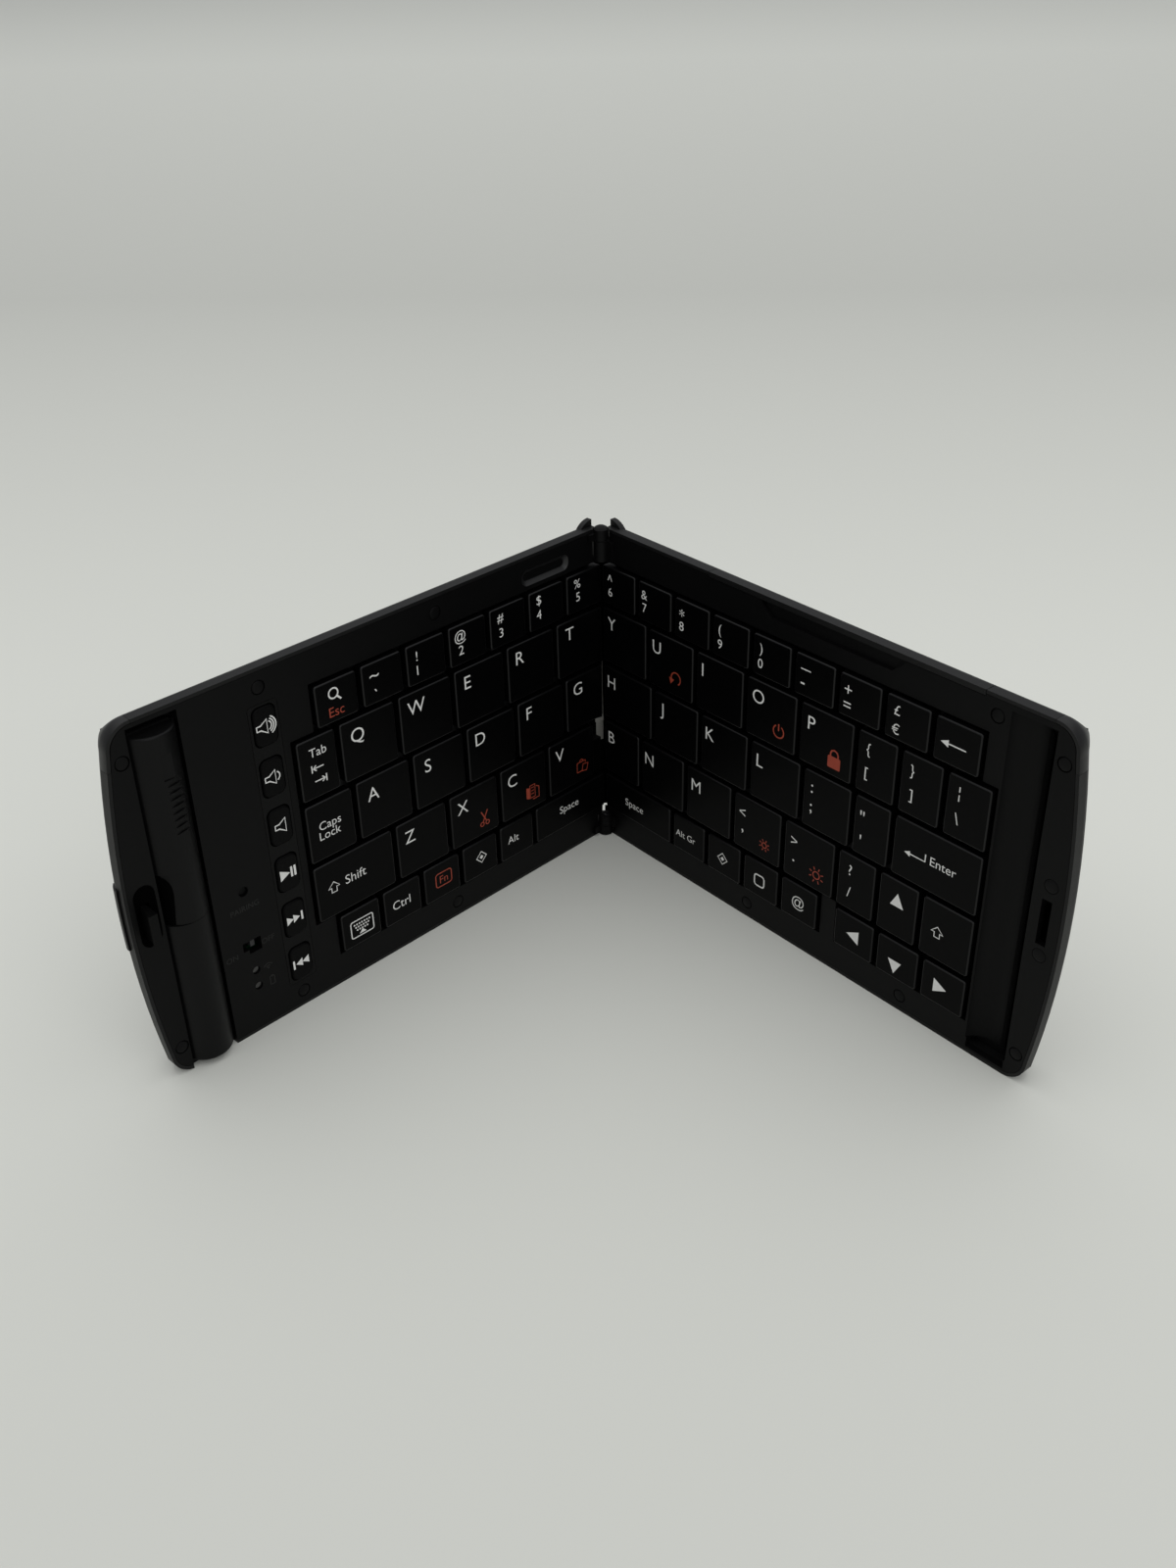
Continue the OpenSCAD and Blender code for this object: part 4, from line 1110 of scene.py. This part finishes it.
class KEYBOARD_OT_plugs(bpy.types.Operator):
    """Model the round plugs over the screws and beside the latch slot, each ringed with painted
    shade
    """

    bl_idname = "keyboard.plugs"
    bl_label = "Screw plugs"

    LEFT = ((57.8, 93), (57.8, 4.5), (110.5, 93), (110.5, 4.5), (146.3, 8.2), (146.3, 88.6))
    RIGHT = ((128.7, 93), (57.8, 4.5), (111.5, 4.5), (146.3, 8.2), (146.3, 88.6))
    PADS = ((148.1, 58.0), (147.9, 38.8))

    @staticmethod
    def disc(bm, x, y, low, high, radius):
        made = bmesh.ops.create_cone(
            bm, cap_ends=True, segments=40, radius1=radius, radius2=radius, depth=high - low)
        bmesh.ops.translate(bm, vec=(x, y, (low + high) / 2), verts=made["verts"])
        rim = [e for e in edges_of(made["verts"]) if all(v.co.z > high - 1e-4 for v in e.verts)]
        bevel(bm, rim, 0.28, 3)

    def discs(self, name, side, places, sunk, proud, radius, replaced):
        bm = bmesh.new()
        for u, w in places:
            self.disc(bm, outward(side, u), w, DECK - sunk, DECK + proud, radius)
        settle(bm, name, side, ["deck_plastic"], side + "_half", replaced)

    def execute(self, context):
        for side, places in (("left", self.LEFT), ("right", self.RIGHT)):
            self.discs(side + "_plugs", side, places, 0.6, 0.04, 1.66, [side + "_screw_plugs"])
            # painted shade: a near-black printed ring round each plug and strike pad, in place of
            # the shade in the gap about it
            p = Print(DECK)
            for u, w in places + (self.PADS if side == "right" else ()):
                p.at(outward(side, u), w).ring(1.78, 0.2)
            p.settle(side + "_plug_rings", side, "dull_black", side + "_half", "case")
        self.discs("strike_pads", "right", self.PADS, 0.2, 0.06, 1.62, ())
        return {"FINISHED"}


class KEYBOARD_OT_painted_shade_and_highlight(bpy.types.Operator):
    """Paint shade with dark skins into the recesses of the latch, the battery cover, the deck and
    the trough, and a highlight on the finger recess's rim
    """

    bl_idname = "keyboard.linings"
    bl_label = "Dark linings"

    SKIN = 0.02
    HOOK_X = 147.8
    DISH_AXIS, DISH_RADIUS = 1.063, 3.57       # round recess about the latch hook
    DISH_FRONT, DISH_BACK = 42.8, 54.2         # beyond these its ends are round too
    COVER_AXIS, COVER_RADIUS = -4.6, 6.42
    TROUGH_AXIS, TROUGH_RADIUS = 1.672, 6.45
    FINGER_X, FINGER_Y = -19.8, 91.9           # middle of the recess behind the number row

    def skin(self, name, side, finish, body, rows, left_out=lambda i, k: False):
        """A thin skin through rows of points: out from the split, up the half, off the axis"""
        bm = bmesh.new()
        sheet(bm, [[bm.verts.new((outward(side, u), w, n)) for u, w, n in row] for row in rows],
              left_out)
        face_out(bm)
        bmesh.ops.solidify(bm, geom=list(bm.faces), thickness=-self.SKIN)
        settle(bm, name, side, [finish], body)

    # painted shade: a near-black skin lying in the round recess about the latch hook
    def recess(self):
        above = self.DISH_AXIS - DECK + self.SKIN
        rows = []
        for w in (39.9, 40.2, 40.7, 41.3, 42.05, 44, 46, 48, 50, 51.45, 53, 55, 56, 56.6, 57.1):
            beyond = max(self.DISH_FRONT - w, w - self.DISH_BACK, 0)
            r = math.sqrt(self.DISH_RADIUS ** 2 - beyond ** 2)
            half = math.sqrt(max(r * r - above ** 2, 0.01))
            a, b = min(1.45, 0.6 * half), min(1.25, 0.55 * half)
            across = (-half, -(half + a) / 2, -a, -a / 3, b / 3, b, (half + b) / 2, half)
            rows.append([(self.HOOK_X + x, w,
                          self.DISH_AXIS - math.sqrt(max(r * r - x * x, above ** 2)))
                         for x in across])
        self.skin("latch_recess", "left", "dull_black", "left_half", rows,
                  lambda i, k: 4 <= i <= 8 and 2 <= k <= 4)

    @staticmethod
    def arc(axis, radius, up, w, angles):
        """Points round the tube at one height; the angles are counted from straight up or down"""
        return [(TUBE_X + radius * math.sin(math.radians(t)), w,
                 axis + up * radius * math.cos(math.radians(t))) for t in angles]

    # painted shade: a near-black skin lying in the dent on the battery cover's flank
    def dent(self):
        rows = []
        for i in range(15):
            first = 46 - 0.95 * i + 30 * (i / 14) ** 8
            rows.append(self.arc(self.COVER_AXIS, self.COVER_RADIUS, 1, 43.4 + i,
                                 [first + (74.5 - first) * k / 6 for k in range(7)]))
        self.skin("cover_dent", "left", "dull_black", "battery_cover", rows)

    def trough(self):
        """Painted shade: skins of falling brightness up the outer wall of the trough"""
        for name, finish, first, last in (
                ("trough_wall_low", "dim_plastic", 26, 38),
                ("trough_wall", "dimmer_plastic", 38, 48),
                ("trough_wall_top", "dull_black", 48, 62.5)):
            angles = [first + (last - first) * k / 4 for k in range(5)]
            self.skin(name, "right", finish, "right_half", [
                self.arc(self.TROUGH_AXIS, self.TROUGH_RADIUS, -1, w, angles)
                for w in (4.9, 93.4)])

    def finger_recess(self):
        """Sloping rim inside the finger recess behind the number row, in a lighter, shinier copy of
        the case plastic: a painted highlight
        """
        bm = bmesh.new()
        rows = []
        for inset, depth in ((0, 0.02), (0.95, 0.78), (1.15, 0.84), (1.15, 0.9), (0, 0.9)):
            ring = [
                bm.verts.new((x + self.FINGER_X, y + self.FINGER_Y, DECK - depth))
                for x, y in rounded(16.96 - 2 * inset, 4.56 - 2 * inset, 1.98 - 0.7 * inset, 6)]
            rows.append(ring[-1:] + ring)
        sheet(bm, rows + rows[:1])
        face_out(bm)
        settle(bm, "finger_recess_rim", "left", ["rim_plastic"], "left_half", smooth=40)

    def execute(self, context):
        self.recess()
        self.dent()
        self.finger_recess()
        self.trough()
        # painted shade: a near-black sheet on the filler in the notch beside the split
        bm = bmesh.new()
        block(bm, (-3.4, -0.32), (22.5, 33.0), (DECK, DECK + INK))
        settle(bm, "split_corner", "left", ["dull_black"], "left_half")
        return {"FINISHED"}


class KEYBOARD_OT_stage(bpy.types.Operator):
    """Lay the pale floor, light it and set the camera"""

    bl_idname = "keyboard.stage"
    bl_label = "Stage"

    EYE = (13.195, -330.439, 255.981)          # in mm
    DOWN, YAW, ROLL = 31.9307, -2.7313, -1.3735

    def floor(self):
        bm = bmesh.new()
        bmesh.ops.create_grid(bm, x_segments=1, y_segments=1, size=5)
        in_scene(bm, "floor", ["floor_paper"])

    def lamp(self, name, where, at, size, watts):
        data = bpy.data.lights.new(name, "AREA")
        data.shape = "RECTANGLE"
        data.size, data.size_y = size
        data.energy = watts
        lamp = bpy.data.objects.new(name, data)
        lamp.location = where
        lamp.rotation_euler = (Vector(at) - Vector(where)).to_track_quat("-Z", "Y").to_euler()
        bpy.context.collection.objects.link(lamp)

    def camera(self):
        pitch, yaw, roll = (math.radians(a) for a in (self.DOWN, self.YAW, self.ROLL))
        ahead = Vector((
            math.sin(yaw) * math.cos(pitch), math.cos(yaw) * math.cos(pitch), -math.sin(pitch)))
        right = Vector((math.cos(yaw), -math.sin(yaw), 0))
        up = right.cross(ahead)
        across = math.cos(roll) * right + math.sin(roll) * up
        above = math.cos(roll) * up - math.sin(roll) * right
        data = bpy.data.cameras.new("camera")
        data.lens = sizes().lens
        data.sensor_width = 36
        data.clip_start, data.clip_end = 0.01, 50
        eye = bpy.data.objects.new("camera", data)
        place = Matrix((across, above, -ahead)).transposed().to_4x4()
        place.translation = Vector(self.EYE) * MM
        eye.matrix_world = place
        bpy.context.collection.objects.link(eye)
        bpy.context.scene.camera = eye

    def execute(self, context):
        self.floor()
        self.lamp("overhead", (0.0, 0.4, 2.2), (0, 0.4, 0), (4.0, 4.0), 40)
        self.lamp("front_fill", (0.8, -1.4, 1.0), (0, 0, 0.05), (1.6, 1.2), 7)
        world = bpy.data.worlds.new("studio")
        world.use_nodes = True
        sky = world.node_tree.nodes["Background"]
        sky.inputs["Color"].default_value = (0.96, 0.98, 1.0, 1)
        sky.inputs["Strength"].default_value = 0.50
        context.scene.world = world
        context.scene.view_settings.view_transform = "Standard"
        self.camera()
        return {"FINISHED"}


class KEYBOARD_PT_panel(bpy.types.Panel):
    """The keyboard's makers, in the order they run"""

    bl_label = "Folding keyboard"
    bl_idname = "KEYBOARD_PT_panel"
    bl_space_type = "VIEW_3D"
    bl_region_type = "UI"
    bl_category = "Keyboard"

    def draw(self, context):
        for group in (sizes(), colours()):
            for name in group.bl_rna.properties.keys():
                if name not in ("rna_type", "name"):
                    self.layout.prop(group, name)
        for maker in MAKERS:
            self.layout.operator(maker.bl_idname)


MAKERS = (
    KEYBOARD_OT_finishes, KEYBOARD_OT_left_keys, KEYBOARD_OT_right_keys, KEYBOARD_OT_media_keys,
    KEYBOARD_OT_legends, KEYBOARD_OT_deck_marks, KEYBOARD_OT_hinge_strip,
    KEYBOARD_OT_corner_caps, KEYBOARD_OT_plugs, KEYBOARD_OT_painted_shade_and_highlight, KEYBOARD_OT_stage,
)
CLASSES = (KeyboardSizes, KeyboardColours, *MAKERS, KEYBOARD_PT_panel)


def register():
    for cls in CLASSES:
        bpy.utils.register_class(cls)
    bpy.types.Scene.keyboard_sizes = PointerProperty(type=KeyboardSizes)
    bpy.types.Scene.keyboard_colours = PointerProperty(type=KeyboardColours)


def unregister():
    del bpy.types.Scene.keyboard_colours
    del bpy.types.Scene.keyboard_sizes
    for cls in reversed(CLASSES):
        bpy.utils.unregister_class(cls)


def main():
    register()
    bpy.ops.keyboard.finishes()
    bpy.ops.keyboard.left_keys()
    bpy.ops.keyboard.right_keys()
    bpy.ops.keyboard.media_keys()
    bpy.ops.keyboard.legends()
    bpy.ops.keyboard.deck_marks()
    bpy.ops.keyboard.hinge_strip()
    bpy.ops.keyboard.corner_caps()
    bpy.ops.keyboard.plugs()
    bpy.ops.keyboard.linings()
    bpy.ops.keyboard.stage()


if __name__ == "__main__":
    main()
